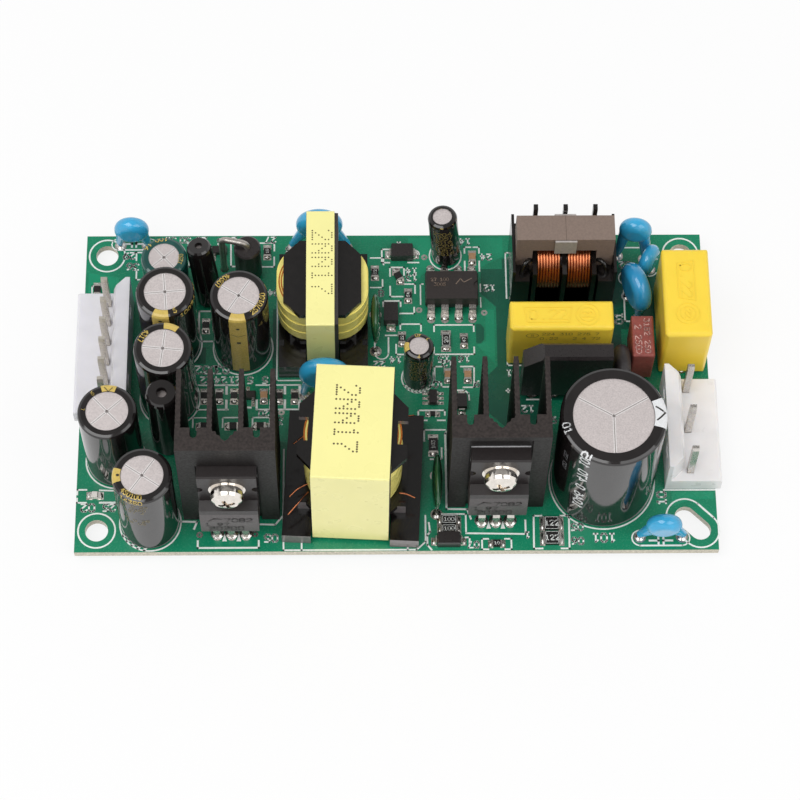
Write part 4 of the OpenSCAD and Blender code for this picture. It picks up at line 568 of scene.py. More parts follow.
STROKES = [                               # width, then x and y of each point
    # back left: disc capacitor, brackets and part numbers
    (0.22, -51.4, 31.15, -45.4, 31.15), (0.26, -51.4, 28.85, -45.4, 28.85),
    (0.3, -50.2, 30.1, -48.8, 30.1, -48.8, 30.7, -48.8, 29.5), (0.3, -46.6, 30.1, -48, 30.1, -48, 30.7, -48, 29.5),
    (0.24, -46.7, 28.3, -47.9, 28.3, -47.9, 26.7), (0.24, -47.8, 24.6, -47.8, 22.6, -46.7, 22.6),
    (0.24, -29.2, 30.3, -30.4, 30.3, -30.3, 25.3, -29.2, 25.3), (0.24, -24.9, 30.2, -22.3, 30.2, -22.3, 28.6),
    (0.24, -22.3, 27.2, -22.3, 25.2, -24.9, 25.2), (0.34, -37, 29.4, -38.2, 29.4, -38.2, 28.2),
    (0.34, -38, 26.6, -38, 25.3, -37, 25.3), (0.26, -33.9, 16, -36, 16, -35.9, 9.8, -33.5, 9.8),
    (0.22, -53.8, 21.3, -55.9, 21.3, -55.8, 18.5, -53.8, 18.5),
    # row of chips before the left heat sink
    (0.24, -28.2, 0.9, -36.1, 0.9, -36, -4, -30.4, -4), (0.24, -25.3, 0.9, -17.4, 0.9), (0.24, -25.2, -4, -17.4, -4),
    (0.3, -27.3, -3.6, -26.3, -3.6),
    # front left: light, numbers, heat sink and device
    (0.24, -55.4, -19.7, -57, -19.7, -57, -20.6), (0.24, -57, -21.4, -57, -22.2, -55.4, -22.2),
    (0.24, -53, -19.8, -50.5, -19.9), (0.3, -52.9, -22.2, -50.3, -22.2), (0.3, -38.6, -25.9, -35.5, -26, -36, -27.3),
    (0.26, -24.4, -26.5, -21.6, -26.6, -20.2, -24.8, -20.2, -12),
    (0.28, -35.3, -29.7, -35.3, -31, -24.5, -31, -24.5, -29.7),
    # the two transformers
    (0.2, -21.6, 19, -21.6, 1.8, -16.3, 1.8), (0.24, -20.2, -25.3, -20.1, -31.5, 3.5, -31.5, 5.1, -30, 5.1, -25),
    (0.24, -16.9, -31.5, -16.9, -29.4), (0.24, 1.9, -31.5, 1.9, -30.2),
    # middle back
    (0.24, -0.9, 28.8, -2.3, 28.8, -2.3, 26, -0.9, 26), (0.24, 2.6, 26, 4.5, 26), (0.22, -4.4, 27, -2, 27, -2, 25.6),
    (0.22, -2.2, 22.4, -2.2, 20.8, -4.4, 20.8), (0.24, -0.8, 23.2, -0.8, 25, 1.8, 25, 1.8, 23.4),
    (0.24, -0.8, 21, -0.8, 18.9, 1.5, 18.9), (0.24, 2, 21.5, 3.8, 21.5, 3.8, 19.6),
    (0.24, 1, 15.4, 3.6, 15.4, 3.6, 16.6), (0.24, 14.2, 29.2, 13.1, 29.2, 13.1, 28),
    (0.24, 14.8, 29.2, 15.8, 29.2, 15.8, 28), (0.24, 13.1, 26.2, 13.1, 24.4), (0.24, 15.8, 26.2, 15.8, 24.2),
    (0.2, 5.3, 21.5, 4.8, 21.5, 4.8, 17.3), (0.2, 15.9, 21.4, 15.9, 19.9), (0.2, 15.9, 18.6, 15.9, 16.7),
    (0.24, -2.1, 16.9, -2.1, 18, 1.1, 18, 1.1, 16.9), (0.24, -1.7, 10.9, 0.3, 10.9),
    (0.24, 1, 12.2, 1, 13.2, 4.8, 13.2, 4.8, 11.8), (0.24, 0.2, 9, 0.2, 7, 1.6, 7), (0.24, -3.7, 10.4, -3.7, 7.3),
    (0.24, -1.2, 7.3, -1.2, 10.4), (0.24, 7.2, 11.7, 7.2, 13, 14.5, 13, 14.5, 11.7),
    (0.24, 7.1, 8.4, 7.1, 7, 14.5, 7, 14.5, 8.4), (0.24, 8.4, 4.5, 7.2, 4.5, 7.1, 1.4, 8.3, 1.4, 8.4, 0.4, 9.6, 0.4),
    (0.24, 12, 4.5, 14.4, 4.5, 14.3, 0.3, 12.4, 0.3), (0.24, 10.9, -0.3, 12.6, -0.3, 13.3, -1, 13.4, -2.2),
    (0.24, 4.1, -5.3, 4.1, -4.3, 8.9, -4.3, 8.9, -5.2), (0.24, 4.1, -6.3, 5.6, -6.3), (0.24, 7.6, -6.3, 8.9, -6.3),
    (0.24, 5.1, -10.4, 5.1, -8.2, 8.9, -8.2), (0.24, 6.2, -14, 8.2, -14, 8.2, -11.8),
    # front, between transformer and right heat sink
    (0.28, 10.2, -7.4, 8.9, -8.9, 8.9, -23.7, 12.6, -23.8, 13.2, -25.6), (0.24, 8, -24.7, 12.3, -24.7, 12.3, -28.2),
    (0.26, 5.7, -26.4, 5.9, -28.1, 5.4, -28.8, 5.4, -30.6, 6.1, -31.5), (0.24, 12.2, -29.2, 12.9, -29.2, 12.9, -30.3),
    (0.26, 12.3, -28.4, 22.9, -28.6, 22.9, -26), (0.24, 16.2, -29.5, 15.1, -29.5, 15.1, -31.5, 16.2, -31.5),
    (0.24, 19.2, -29.5, 20.3, -29.5, 20.3, -31.5, 19.2, -31.5),
    (0.26, 25.8, -25.1, 24.4, -25.1, 24.3, -31.4, 25.8, -31.4),
    (0.26, 29.2, -25.1, 30.7, -25.1, 30.6, -31.4, 29.2, -31.4),
    # right side
    (0.22, 21.7, 28, 20.7, 28, 20.7, 18.5), (0.22, 40.1, 23.3, 40.1, 17), (0.22, 40.9, 29, 46.2, 29),
    (0.24, 42.5, 21, 42.4, 13.7, 43.4, 13.6), (0.22, 20.6, 6, 20.5, 4.7, 23.2, 4.7), (0.24, 23.9, -2.2, 28.2, -2.2),
    (0.24, 47.9, -20.2, 57, -20.2),
]
LABELS = {                                # height, width of the stroke, turn: numerals and their middles
    (1.3, 0.24, 180): [("29", -49.2, 27.6), ("36", -48.5, 25.3), ("25", -51.2, -23.2)],
    (1.5, 0.24, 180): [("0320", -35.2, 4), ("03", -31.6, 4)],
    (1.1, 0.2, 180): [("20", -23.9, -4.8)],
    (1, 0.18, 90): [("93", -21, -6.3)],
    (1.45, 0.25, 180): [("02", -55, -23.2)],
    (1.4, 0.24, 180): [("05", -22.3, -29.2)],
    (1.2, 0.22, 180): [("1", 7.2, -15.4), ("81", 21.3, 3.1), ("14", 3.2, 24.2), ("13", 3.2, 22.8), ("8", -2.5, 19.6),
        ("1", 0.9, 29.7), ("14", 13.2, 30.4), ("24", 17.1, 27.1), ("12", 17.6, 20.6), ("14", 0.1, 5.9),
        ("22", -2.9, 5), ("15", 8.9, 6), ("16", 12.6, 6), ("12", 9.6, 5.1), ("19", 15.4, 1), ("01", 6.8, 0.9)],
    (1.15, 0.22, 180): [("07", 13.6, -30.6)],
    (1.1, 0.22, 180): [("1", 23.2, -28.8)],
    (1.25, 0.23, 180): [("05", 32.1, -27.3), ("06", 32.1, -30), ("02", 42.9, 25.4)],
    (1.55, 0.26, 180): [("101", 36.8, -29.4)],
    (1.3, 0.23, 90): [("01", 41.3, 14.2)],
    (1.2, 0.24, 0): [("+", 20.5, -0.4)],
    (1.3, 0.23, 180): [("12", 24, -4.1), ("9", 28.6, -6.3)],
    (1.5, 0.27, 90): [("10", 47.4, -21.8)],
    (1.15, 0.21, 180): [("31", -41.6, 30.85), ("30", -38.9, 30.85), ("28", -35.9, 30.85), ("6", -32.5, 30.55),
        ("2", -29.8, 30.85), ("27", -23, 30.85), ("3", -19.7, 28.75), ("04", -22.3, 19.75), ("6", -37, 12.95)],
    (1.3, 0.22, 180): [("22", -34.4, 1.9), ("24", -31.8, 1.9), ("21", -29.2, 1.9), ("5", -26.4, 1.9),
        ("5", -23.7, 1.9)],
}
RINGS = [                                 # x, y, radius, width, start and end
    (9.5, 27.4, 2.95, 0.26), (4.1, 2.2, 2.95, 0.26), (-51.4, 30, 1.15, 0.22, 90, 270), (-45.4, 30, 1.15, 0.22, -90, 90),
    (3.6, 27.6, 1.1, 0.22, 0, 90), (-2.45, 7.3, 1.25, 0.24, 180, 360), (46.5, 30.2, 1.3, 0.24, -90, 90),
    (47.4, 24.5, 1.5, 0.24, 90, 330), (43, 22.6, 1.4, 0.24, 90, 250),
]
HOLE_INSET, HOLE_RING, CAN_MARGIN = (3.85, 4.15), 3.3, 0.25
SLOT_INSET, SLOT_TURN, SLOT_TRAVEL, SLOT_RING, SLOT_LINE = (4.4, 5.1), -45, 3.6, 3.4, 0.3
PIN_MARK_WIDTH, PIN_MARK_HEIGHT = 0.84, 1.5
EARTH_PITCH, EARTH_PAD = 3.7, 1.45


def hatch(a, c, outer, inner, start, step, count, skew, w):
    """Short strokes between two radii, the sign for a can's negative side."""
    for i in range(count):
        t = radians(start + i * step)
        a.line([(c.x + outer * cos(t), c.y + outer * sin(t)),
                (c.x + inner * cos(t + skew), c.y + inner * sin(t + skew))], w)


def slot_outline(a):
    """The round-ended outline of the diagonal slot in the front right corner."""
    cx, cy, r = RIGHT - SLOT_INSET[0], FRONT + SLOT_INSET[1], SLOT_RING
    ca, sa = cos_sin(SLOT_TURN)
    dx, dy = ca * SLOT_TRAVEL / 2, sa * SLOT_TRAVEL / 2
    for s in (1, -1):
        a.ring(cx + s * dx, cy + s * dy, r, SLOT_LINE, SLOT_TURN - 90 * s, SLOT_TURN + 180 - 90 * s)
        nx, ny = sa * r * s, -ca * r * s
        a.line([(cx - dx + nx, cy - dy + ny), (cx + dx + nx, cy + dy + ny)], SLOT_LINE)


def silkscreen():
    """White outlines, signs and numerals on the bare board."""
    a = Art(1.25)
    for sx, sy in ((-1, 1), (-1, -1), (1, 1)):
        a.ring(sx * (RIGHT - HOLE_INSET[0]), sy * (BACK - HOLE_INSET[1]), HOLE_RING, 0.3)
    cans = islands("output_capacitor_sleeves")
    for b in cans + islands("bulk_capacitor_sleeve"):
        a.ring(mid(b).x, mid(b).y, (b[1].x - b[0].x) / 2 + CAN_MARGIN, 0.28)
    hatch(a, mid(near(cans, -43.8, -26.1)), 5.3, 4.8, 208, 13, 5, 0.05, 0.4)
    hatch(a, mid(near(islands("small_capacitor_sleeves"), 4, 2)), 2.9, 2.5, 212, 15, 7, 0.12, 0.28)
    for ring in RINGS:
        a.ring(*ring)
    for w, *p in STROKES:
        a.line(list(zip(p[::2], p[1::2])), w)
    for (h, w, turn), row in LABELS.items():
        for s, x, y in row:
            a.text(s, x, y, h, w, turn)
    # frames of the rows of chips by the left heat sink
    for x in (-30.7, -22.7, -20.1, -17.4):
        a.rect(x - 0.22, 0.9, x + 0.22, -1.0)
        a.rect(x - 0.22, -2.0, x + 0.22, -4.0)
    a.rect(-25.4, -2.0, -25.0, -4.0)
    for x0, x1 in ((-36.7, -32.3), (-31.3, -26.8), (-25.9, -22.8)):
        a.line([(x0, -7.5), (x0, -5.6), (x1, -5.6), (x1, -7.5)], 0.22)
    # a triangle between each two leads of the power devices
    for name in ("rectifier_diode_leads", "switch_transistor_leads"):
        pins = islands(name)
        y = pins[0][0].y - PIN_MARK_HEIGHT / 2
        for p, q in zip(pins, pins[1:]):
            x = (mid(p).x + mid(q).x) / 2
            a.poly((x - PIN_MARK_WIDTH / 2, y), (x + PIN_MARK_WIDTH / 2, y), (x, y + PIN_MARK_HEIGHT))
    # outline and sign of the earth capacitor, front right
    d = mid(near(islands("disc_capacitors"), 46.9, -29.3))
    cx, cy = d.x, d.y + 0.2
    for s in (-1, 1):
        a.ring(cx + s * EARTH_PITCH, cy, EARTH_PAD, 0.26, -90 * s, 180 - 90 * s)
        a.line([(cx - EARTH_PITCH, cy + s * EARTH_PAD), (cx + EARTH_PITCH, cy + s * EARTH_PAD)], 0.26)
        a.line([(cx + s * 2.0, cy - 0.5), (cx + s * 0.45, cy - 0.5)], 0.3)
        a.line([(cx + s * 0.45, cy + 0.2), (cx + s * 0.45, cy - 1.1)], 0.3)
    slot_outline(a)
    a.build("board_silkscreen", "silk_white", flat(TOP + SILK_LIFT), "board_laminate")


silkscreen()


DARK_MASK = [                             # x and y of each corner
    (16, 24.6, 16, 19.4, 18.7, 16.7, 18.7, 4.6, 16.6, 2.4, 16.6, -4.6, 20, -7.8, 27.2, -7.8, 27.2, -2.4, 41.6, -2.4,
     41.6, 12, 48.6, 12, 48.6, 24.6, 41, 24.6, 41, 26.8, 20, 26.8, 20, 24.6),
    (14.9, 13.2, 14.9, 9.2, 15.8, 9.2, 16.4, 10, 16.4, 12.4, 15.8, 13.2),
    (-22.4, 16.4, -22.4, -2, -21.7, -2, -21.7, 16.4),
    (-36.8, 8.6, -36.8, 5.2, -34.6, 5.2, -34.6, 8.6),
]
LIGHT_MASK = [
    (2.6, 31.2, 20.2, 31.2, 20.2, 27.2, 15.9, 24.9, 6, 24.9, 4.6, 22.6, 2.6, 25.6),
    (15, 8.9, 18.3, 5, 18.3, 16.2, 16.7, 16.2, 16.7, 9.6),
    (49.2, -20.6, 56.7, -20.6, 56.7, -22, 53, -22, 49.2, -23.4),
    (-56.6, 24, -51, 23, -51, 17.6, -56.6, 17.6),
]


def mask_zones():
    """Fields of darker and lighter solder mask over gaps and pours of copper."""
    for name, mat, shapes in (("board_mask_dark", "mask_dark", DARK_MASK),
                              ("board_mask_light", "copper_under_mask", LIGHT_MASK)):
        a = Art()
        for p in shapes:
            a.poly(*zip(p[::2], p[1::2]))
        a.build(name, mat, flat(TOP + MASK_LIFT), "board_laminate")


mask_zones()


LEADS = {                                 # node: width of the tinned ring round each of its leads
    "radial_leads": 0.75, "switch_transistor_leads": 0.55, "rectifier_diode_leads": 0.55, "axial_leads": 0.6,
    "main_transformer_pins": 0.7, "aux_transformer_pins": 0.7, "line_choke_pins": 0.7, "heatsink_pegs": 0.5,
    "bridge_rectifier_leads": 0.7,
}
VIAS = ((5.6, 27.1), (4.5, 16.1), (16.5, 15.5), (-25.2, -28.4), (-35.0, -28.5), (-20.7, -4.6))
SOLDER_FOOT = TOP + 0.01


def solder_work():
    """Pads under the chips' ends, solder fillets, rings round the leads and bare vias."""
    pads, bm = Art(), bmesh.new()
    chips = islands("chip_resistors") + islands("chip_capacitors") + [
        (Vector((-54.4, -21.5, TOP)), Vector((-53.2, -20.3, TOP)))]

    def pad(x0, y0, x1, y1):
        pads.rect(min(x0, x1), min(y0, y1), max(x0, x1), max(y0, y1))

    def measure(b, bodies):
        c, m = mid(near(bodies, mid(b).x, mid(b).y)), mid(b)
        return c, m, (b[1].x - b[0].x) / 2, (b[1].y - b[0].y) / 2, 1 if m.x > c.x else -1, 1 if m.y > c.y else -1

    for b in islands("chip_terminals"):
        c, m, w, d, sx, sy = measure(b, chips)
        if abs(m.x - c.x) > abs(m.y - c.y):
            x = m.x + sx * w
            pad(m.x - w - 0.08, m.y - d - 0.12, m.x + w + 0.08, m.y + d + 0.12)
            pad(x, m.y - d - 0.12, x + sx * 0.55, m.y + d + 0.12)
            dome(bm, (x - sx * 0.02, m.y, SOLDER_FOOT), (0.5, d, 0.34))
        else:
            y = m.y + sy * d
            pad(m.x - w - 0.12, m.y - d - 0.08, m.x + w + 0.12, m.y + d + 0.08)
            pad(m.x - w - 0.12, y, m.x + w + 0.12, y + sy * 0.6)
            dome(bm, (m.x, y - sy * 0.02, SOLDER_FOOT), (w, 0.55, 0.36))
    for b in islands("controller_ic_pins"):
        c, m, w, d, sx, sy = measure(b, islands("controller_ic"))
        x, y = m.x, m.y + sy * d
        pad(x - 0.75, y - sy, x + 0.75, y + sy * 0.35)
        pads.disc(x, y + sy * 0.3, 0.75, 20)
        dome(bm, (x, y - sy * 0.05, SOLDER_FOOT), (0.62, 0.55, 0.3), 14)
    for b in islands("smd_leads"):
        c, m, w, d, sx, sy = measure(b, islands("smd_packages"))
        # the six-lead package at (6.8, -1.9) has its leads in two columns
        wide = 0.5 if abs(c.x - 6.8) < 1 and abs(c.y + 1.9) < 1 else 1
        if abs(m.x - c.x) / (abs(m.y - c.y) + 0.01) > wide:
            sy = 0
        else:
            sx = 0
        pads.rect(m.x - w - 0.1 + min(0, sx * 0.4), m.y - d - 0.1 + min(0, sy * 0.4),
                  m.x + w + 0.1 + max(0, sx * 0.4), m.y + d + 0.1 + max(0, sy * 0.4))
        dome(bm, (m.x + sx * w, m.y + sy * d, SOLDER_FOOT), (0.4 if sx else w, 0.4 if sy else d, 0.26))
    for name, grow in LEADS.items():
        for lo, hi in islands(name):
            if hi.x - lo.x < 2.4 and lo.z < 1:
                x, y, r = (lo.x + hi.x) / 2, (lo.y + hi.y) / 2, min(hi.x - lo.x, hi.y - lo.y) / 2
                pads.ring(x, y, r + grow / 2 + 0.05, grow, n=20)
                # a low collar of solder round the lead
                skin(bm, [[bm.verts.new(((x + (r + out) * ca) * MM, (y + (r + out) * sa) * MM, z * MM))
                           for ca, sa in circle(12)] for out, z in ((0.5, TOP + 0.02), (0.06, TOP + 0.3))])
    for x, y in VIAS:
        pads.ring(x, y, 0.4, 0.4, n=20)
    pads.build("board_pads", "pad_tin", flat(TOP + PAD_LIFT), "solder")
    keep(bm, "solder_fillets", "solder", smooth=True)


solder_work()


# ---------------------------------------------------- printing on the parts

CAN_TOPS = [                              # node, lip of the sleeve, turn between vent lines: spots and first turns
    ("output_capacitor_cans", 1.3, 90, ((-40.8, 9.2, 5), (-40.9, -1.9, 84), (-27.8, 8.4, 58), (-50.2, -14, 43),
                                        (-43.8, -26.1, 56))),
    ("small_capacitor_cans", 1.2, 90, ((-41.7, 19.9, 42),)), ("bulk_capacitor_can", 2.0, 120, ((36.8, -18.3, 30),)),
]


def can_tops():
    """Vent lines scored in the cans' tops, turned as they came off the reel; each is drawn as a painted shade line down
    its groove with painted highlight lines along both edges.
    """
    parts = []
    for node, lip, step, x, y, start in [(*row[:3], *spot) for row in CAN_TOPS for spot in row[3]]:
        lo, hi = near(islands(node), x, y)
        c, r = mid((lo, hi)), (hi.x - lo.x) / 2 - lip - 0.03
        top, dark, bright = Art(), Art(), Art()
        top.disc(0, 0, r, 64)
        off = 0.17 if node == "bulk_capacitor_can" else 0.15
        for turn in range(start, start + 360, step):
            ca, sa = cos_sin(turn)
            # painted shade down the middle of each groove, and painted highlights along its two edges
            for art, k, w in ((dark, 0, 0.13), (bright, off, 0.16), (bright, -off, 0.16)):
                art.line([(-sa * k, ca * k), (ca * (r - 0.15) - sa * k, sa * (r - 0.15) + ca * k)], w)
        for art, mat, lift in ((top, "can_top", 0.02), (dark, "painted_score_shade_and_ground_ferrite", 0.045), (bright, "score_painted_highlight", 0.035)):
            parts.append(art.build("top", mat, flat(hi.z + lift, c.x, c.y), "can_aluminium"))
    join("can_vent_lines", parts)


can_tops()


def sleeve_prints():
    """Stripes and numerals on the shrink sleeves; angles run anticlockwise from the right."""
    out = {"gold_print": [], "white_print": [], "ink": []}

    def put(art, mat, place, group=None):
        out[group or mat].append(art.build("print", mat, place, "black_sleeve", 0.45))

    def stripe(s, angle, half, long=True, mat="gold_print"):
        a = Art()
        a.rect(-half, s.lip - 0.65, half, 0)
        a.rect(-half, 0, half, -0.93)
        if long:
            a.rect(-half, -0.93, half, -(s.head - s.foot).length + 0.2)
        put(a, mat, s.at(angle))

    def words(s, angle, txt, v, h, mat="gold_print", w=None):
        a = Art()
        a.text(txt, 0, v, h, w)
        put(a, mat, s.at(angle, 0.03), "gold_print" if mat == "gold_dim" else mat)

    def rim(s, angle, txt, v=0.4):
        words(s, angle, txt, v, 0.88, w=0.17)

    def ink(s, angle, lift, shape, *args):
        k = Art()
        getattr(k, shape)(*args)
        put(k, "ink", s.at(angle, lift))

    def chevron(s, angle, w, low, high, width, lift=OVERPRINT_LIFT):
        ink(s, angle, lift, "line", [(-w, high), (0, low), (w, high)], width)

    cans, small = islands("output_capacitor_sleeves"), islands("small_capacitor_sleeves")
    b, c, m, d, f = (Sleeve(near(cans, x, y), 3.7) for x, y in
                     ((-40.8, 9.2), (-27.8, 8.4), (-40.9, -1.9), (-50.2, -14), (-43.8, -26.1)))
    stripe(b, -98, 1.55)
    ink(b, -98, OVERPRINT_LIFT, "disc", 0, -1.9, 0.34)
    rim(b, -64, "5")
    words(b, -38, "1007", -1.25, 1.0)
    words(b, 0, "16 25", -1.1, 0.9)
    stripe(c, -92, 1.55)
    ink(c, -92, OVERPRINT_LIFT, "disc", 0, -3.4, 0.34)
    chevron(c, -92, 1.24, -6.4, -5.85, 0.14)
    rim(c, -26, "2570160")
    rim(c, 135, "40607")
    words(c, -30, "470", -4.5, 1.2, "gold_dim")
    ink(c, -92, OVERPRINT_LIFT, "rect", -0.35, -9.2, 0.35, -8.5)
    stripe(m, 72, 1.5)
    rim(m, 146, "4317")
    stripe(d, 88, 1.5)
    chevron(d, 88, 0.8, 0.9, 0.1, 0.16)
    words(d, 128, "9", 0.3, 0.8)
    words(d, 176, "7", 0.42, 0.5)
    stripe(f, 180, 1.5)
    ink(f, 180, OVERPRINT_LIFT, "disc", 0, 0.45, 0.3)
    rim(f, -116, "450100")
    words(f, -112, "16350", -0.95, 0.95)
    for v, s in ((-2.6, "10 0 25"), (-3.9, "1 0350"), (-5.1, "127 4"), (-8.6, "10 0 25"), (-9.8, "16 05")):
        words(f, -108, s, v, 0.8, "gold_dim", 0.1)
    green = Sleeve(near(small, -41.7, 19.9), 2.8)
    words(green, 118, "100 16", -0.2, 1.0)
    words(green, -8, "1250", 0.5, 0.75)
    for s, turn, marks in ((Sleeve(near(small, 4.1, 2.2), 1.75), 183, ((95, "40"), (40, "7"), (-92, "4"))),
                           (Sleeve(near(small, 9.2, 27.7), 1.75, 2.68), 95, ((-10, "7"), (-45, "4"), (-95, "2")))):
        stripe(s, turn, 1.0, long=False)
        for t, txt in marks:
            words(s, t, txt, -0.1, 0.75)
        for i, v in enumerate((-2.3, -3.6, -4.9, -6.2, -7.5, -8.8)):
            words(s, -96 + 6 * (i % 2), ("2204", "1057", "3516")[i % 3], v, 0.95, "gold_dim", 0.16)
    bulk = Sleeve(islands("bulk_capacitor_sleeve")[0], 7.0)
    stripe(bulk, 3, 3.0, mat="white_print")
    chevron(bulk, 3, 1.5, -0.2, 1.1, 0.3, 0.045)
    words(bulk, 196, "01", 0.2, 1.3, "white_print", 0.2)
    for angle, txt, v, h, w, mat in ((236, "1046 0 470 105", -10.8, 1.7, 0.32, "white_print"),
                                     (210, "027 135", -8.5, 1.0, 0.16, "white_dim")):
        a = Art()
        a.text(txt, 0, 0, h, w)
        side = bulk.at(angle, 0.035)
        put(a, mat, lambda p, q: side(q, v + p), "white_print")
    for suffix, key in (("gold", "gold_print"), ("white", "white_print"), ("ink", "ink")):
        join("sleeve_print_" + suffix, out[key])


sleeve_prints()


def transformer_marks():
    """Dotted numerals on the yellow tapes: pitch of the dots, their radius, and where the middle lies."""
    for name, dots, spot in (("main_transformer", (0.44, 0.66, 0.19), (-8.7, -18.6, -92.9)),
                             ("aux_transformer", (0.45, 0.58, 0.15), (-13.1, 15.0, -90))):
        a = Art()
        a.dots("20017", *dots)
        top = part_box(name + "_tape")[1].z / MM
        a.build(name + "_marks", "ink_brown", flat(top + MARK_LIFT, *spot), "tape_yellow")


transformer_marks()


CHIP_TOP = 4.0
CHIP_MARKS = (                            # spot on the board, numerals, height, turn
    (27.5, -29.5, "122", 0.95, 0), (27.5, -26.7, "122", 0.95, 0), (9.3, -27.7, "100", 0.7, 0),
    (9.3, -25.9, "100", 0.7, 0), (9.35, 9.7, "20", 0.7, 90), (12.65, 9.7, "47", 0.6, 90),
    (6.7, -11.3, "103", 0.6, 90), (-3.6, 23.8, "82", 0.55, 90), (17.7, -30.5, "10", 0.55, 0),
    (2.5, 19, "54", 0.55, 90), (-23.6, 28.2, "10", 0.5, 90), (1.3, 10.1, "22", 0.5, 90))


def component_marks():
    """Numerals and signs printed on the smaller parts."""
    # controller: two rows of numerals and a zigzag
    lo, hi = islands("controller_ic")[0]
    cx, cy = mid((lo, hi)).x, mid((lo, hi)).y
    a = Art()
    a.texts(cx - 2.2, cy, ("27 100", 0, 1.1, 0.6, 0.12), ("3005", 0, 0.1, 0.6, 0.12))
    a.line([(cx + 0.8, cy + 0.2), (cx + 1.6, cy + 1.3), (cx + 2.2, cy + 0.5), (cx + 3.6, cy + 1.3)], 0.16)
    a.build("controller_marks", "mark_brown", flat(hi.z + 0.015), "mould_grey")
    # numerals on the chip resistors, with a frame on the larger ones
    a = Art()
    for x, y, s, h, turn in CHIP_MARKS:
        p, q = near(islands("chip_resistors"), x, y)
        a.text(s, mid((p, q)).x, mid((p, q)).y, h, h * 0.17, turn)
        if h > 0.65:
            x0, y0, x1, y1 = p.x + 0.12, p.y + 0.12, q.x - 0.12, q.y - 0.12
            a.line([(x0, y0), (x1, y0), (x1, y1), (x0, y1), (x0, y0)], 0.07)
    a.build("chip_marks", "silk_white", flat(CHIP_TOP + MARK_LIFT), "chip_black")
    # power devices: dark numerals on the lower block's face
    for name, node in (("rectifier_marks", "rectifier_diode"), ("switch_marks", "switch_transistor")):
        lo, hi = in_mm(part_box(node))
        a, cx, z = Art(), (lo.x + hi.x) / 2, lo.z
        a.texts(cx, z, ("7082", 1.6, 5.2, 1.35, 0.2), ("1 97", -2.2, 3.4, 1.2, 0.18), ("20200", -0.6, 1.6, 1.35, 0.2))
        a.line([(cx - 3.6, z + 4.8), (cx - 2.6, z + 5.9), (cx - 1.4, z + 5.6)], 0.24)
        a.build(name, "ink", lambda u, v: (u, lo.y - MARK_LIFT, v), "mould_grey")
    # fuse: two rows of numerals and a ring along its top
    lo, hi = in_mm(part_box("fuse"))
    a = Art()
    a.texts(0, 0, ("3182 250", 0, 0.75, 0.95, 0.15), ("2 250", 0.3, -0.85, 1.1, 0.16))
    a.ring(3.1, -0.85, 0.5, 0.12)
    a.build("fuse_marks", "mark_pink", flat(hi.z + 0.015, (lo.x + hi.x) / 2, (lo.y + hi.y) / 2, -90), "fuse_brown")
    # bridge rectifier: polarity signs on its front face
    lo, hi = in_mm(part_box("bridge_rectifier"))
    a, cx, half = Art(), (lo.x + hi.x) / 2, (hi.x - lo.x) / 2
    a.texts(cx, hi.z - 3.2, ("+", 2.6 - half, 0, 1.2, 0.16), ("-", half - 1.8, 0, 1.2, 0.16), ("3 10", 0, 0, 1.1, 0.14))
    a.build("bridge_marks", "mark_grey", lambda u, v: (u, lo.y - MARK_LIFT, v), "mould_black")


component_marks()


def film_box_marks():
    """Generic raised rings, bar and numerals moulded in the yellow boxes, and faint print on a side."""
    boxes = sorted(islands("x_capacitors"), key=lambda b: b[0].x)
    parts = []
    for (lo, hi), turn in zip(boxes, (0, -90)):
        a, c, long = Art(), mid((lo, hi)), max(hi.x - lo.x, hi.y - lo.y)
        a.ring(long * 0.25, 0, 2.1, 0.2)
        a.ring(long * 0.25, 0, 1.4, 0.18)
        a.text("22", long * 0.25, 0, 1.0, 0.18)
        bar = [(-long * 0.36, 1.5), (long * 0.10, 1.5), (long * 0.07, -1.5), (-long * 0.33, -1.5)]
        a.line(bar + bar[:1], 0.18)
        a.text("0.22", -long * 0.13, 0, 1.9, 0.24)
        parts.append(a.raised("raised", "box_yellow", flat(hi.z - 0.05, c.x, c.y, turn), "case_yellow", 0.14))
    join("film_box_embossing", parts)
    lo, hi = boxes[0]
    a, cx, z = Art(), (lo.x + hi.x) / 2, hi.z
    a.ring(cx - 5.2, z - 2.6, 1.1, 0.14, ry=0.8)
    a.texts(cx, z, ("5", -5.2, -2.6, 0.7, 0.12), ("224 310 275 7", 1.6, -2.0, 0.85, 0.13),
            ("0.22   2 4 72", 1.6, -3.8, 0.9, 0.13))
    a.build("film_box_print", "mark_olive", lambda u, v: (u, lo.y - 0.015, v), "case_yellow")


film_box_marks()


# ----------------------------------------------------- wires, coils and bodies

LEAD_OUTS = (((-15.6, -22.2, 11.6), (-17.4, -23.0, 11.2), (-19.0, -24.2, 10.4)),
             ((-15.6, -23.6, 11.2), (-17.2, -25.4, 10.9), (-19.2, -27.4, 9.9)),
             ((-15.7, -13.8, 14.0), (-16.8, -14.2, 13.6), (-18.3, -15.0, 12.6)),
             ((0.9, -11.6, 16.0), (2.0, -11.2, 15.8), (3.1, -10.7, 15.2)),
             ((0.4, -24.0, 11.4), (1.6, -24.1, 11.2), (3.2, -24.6, 10.6)))


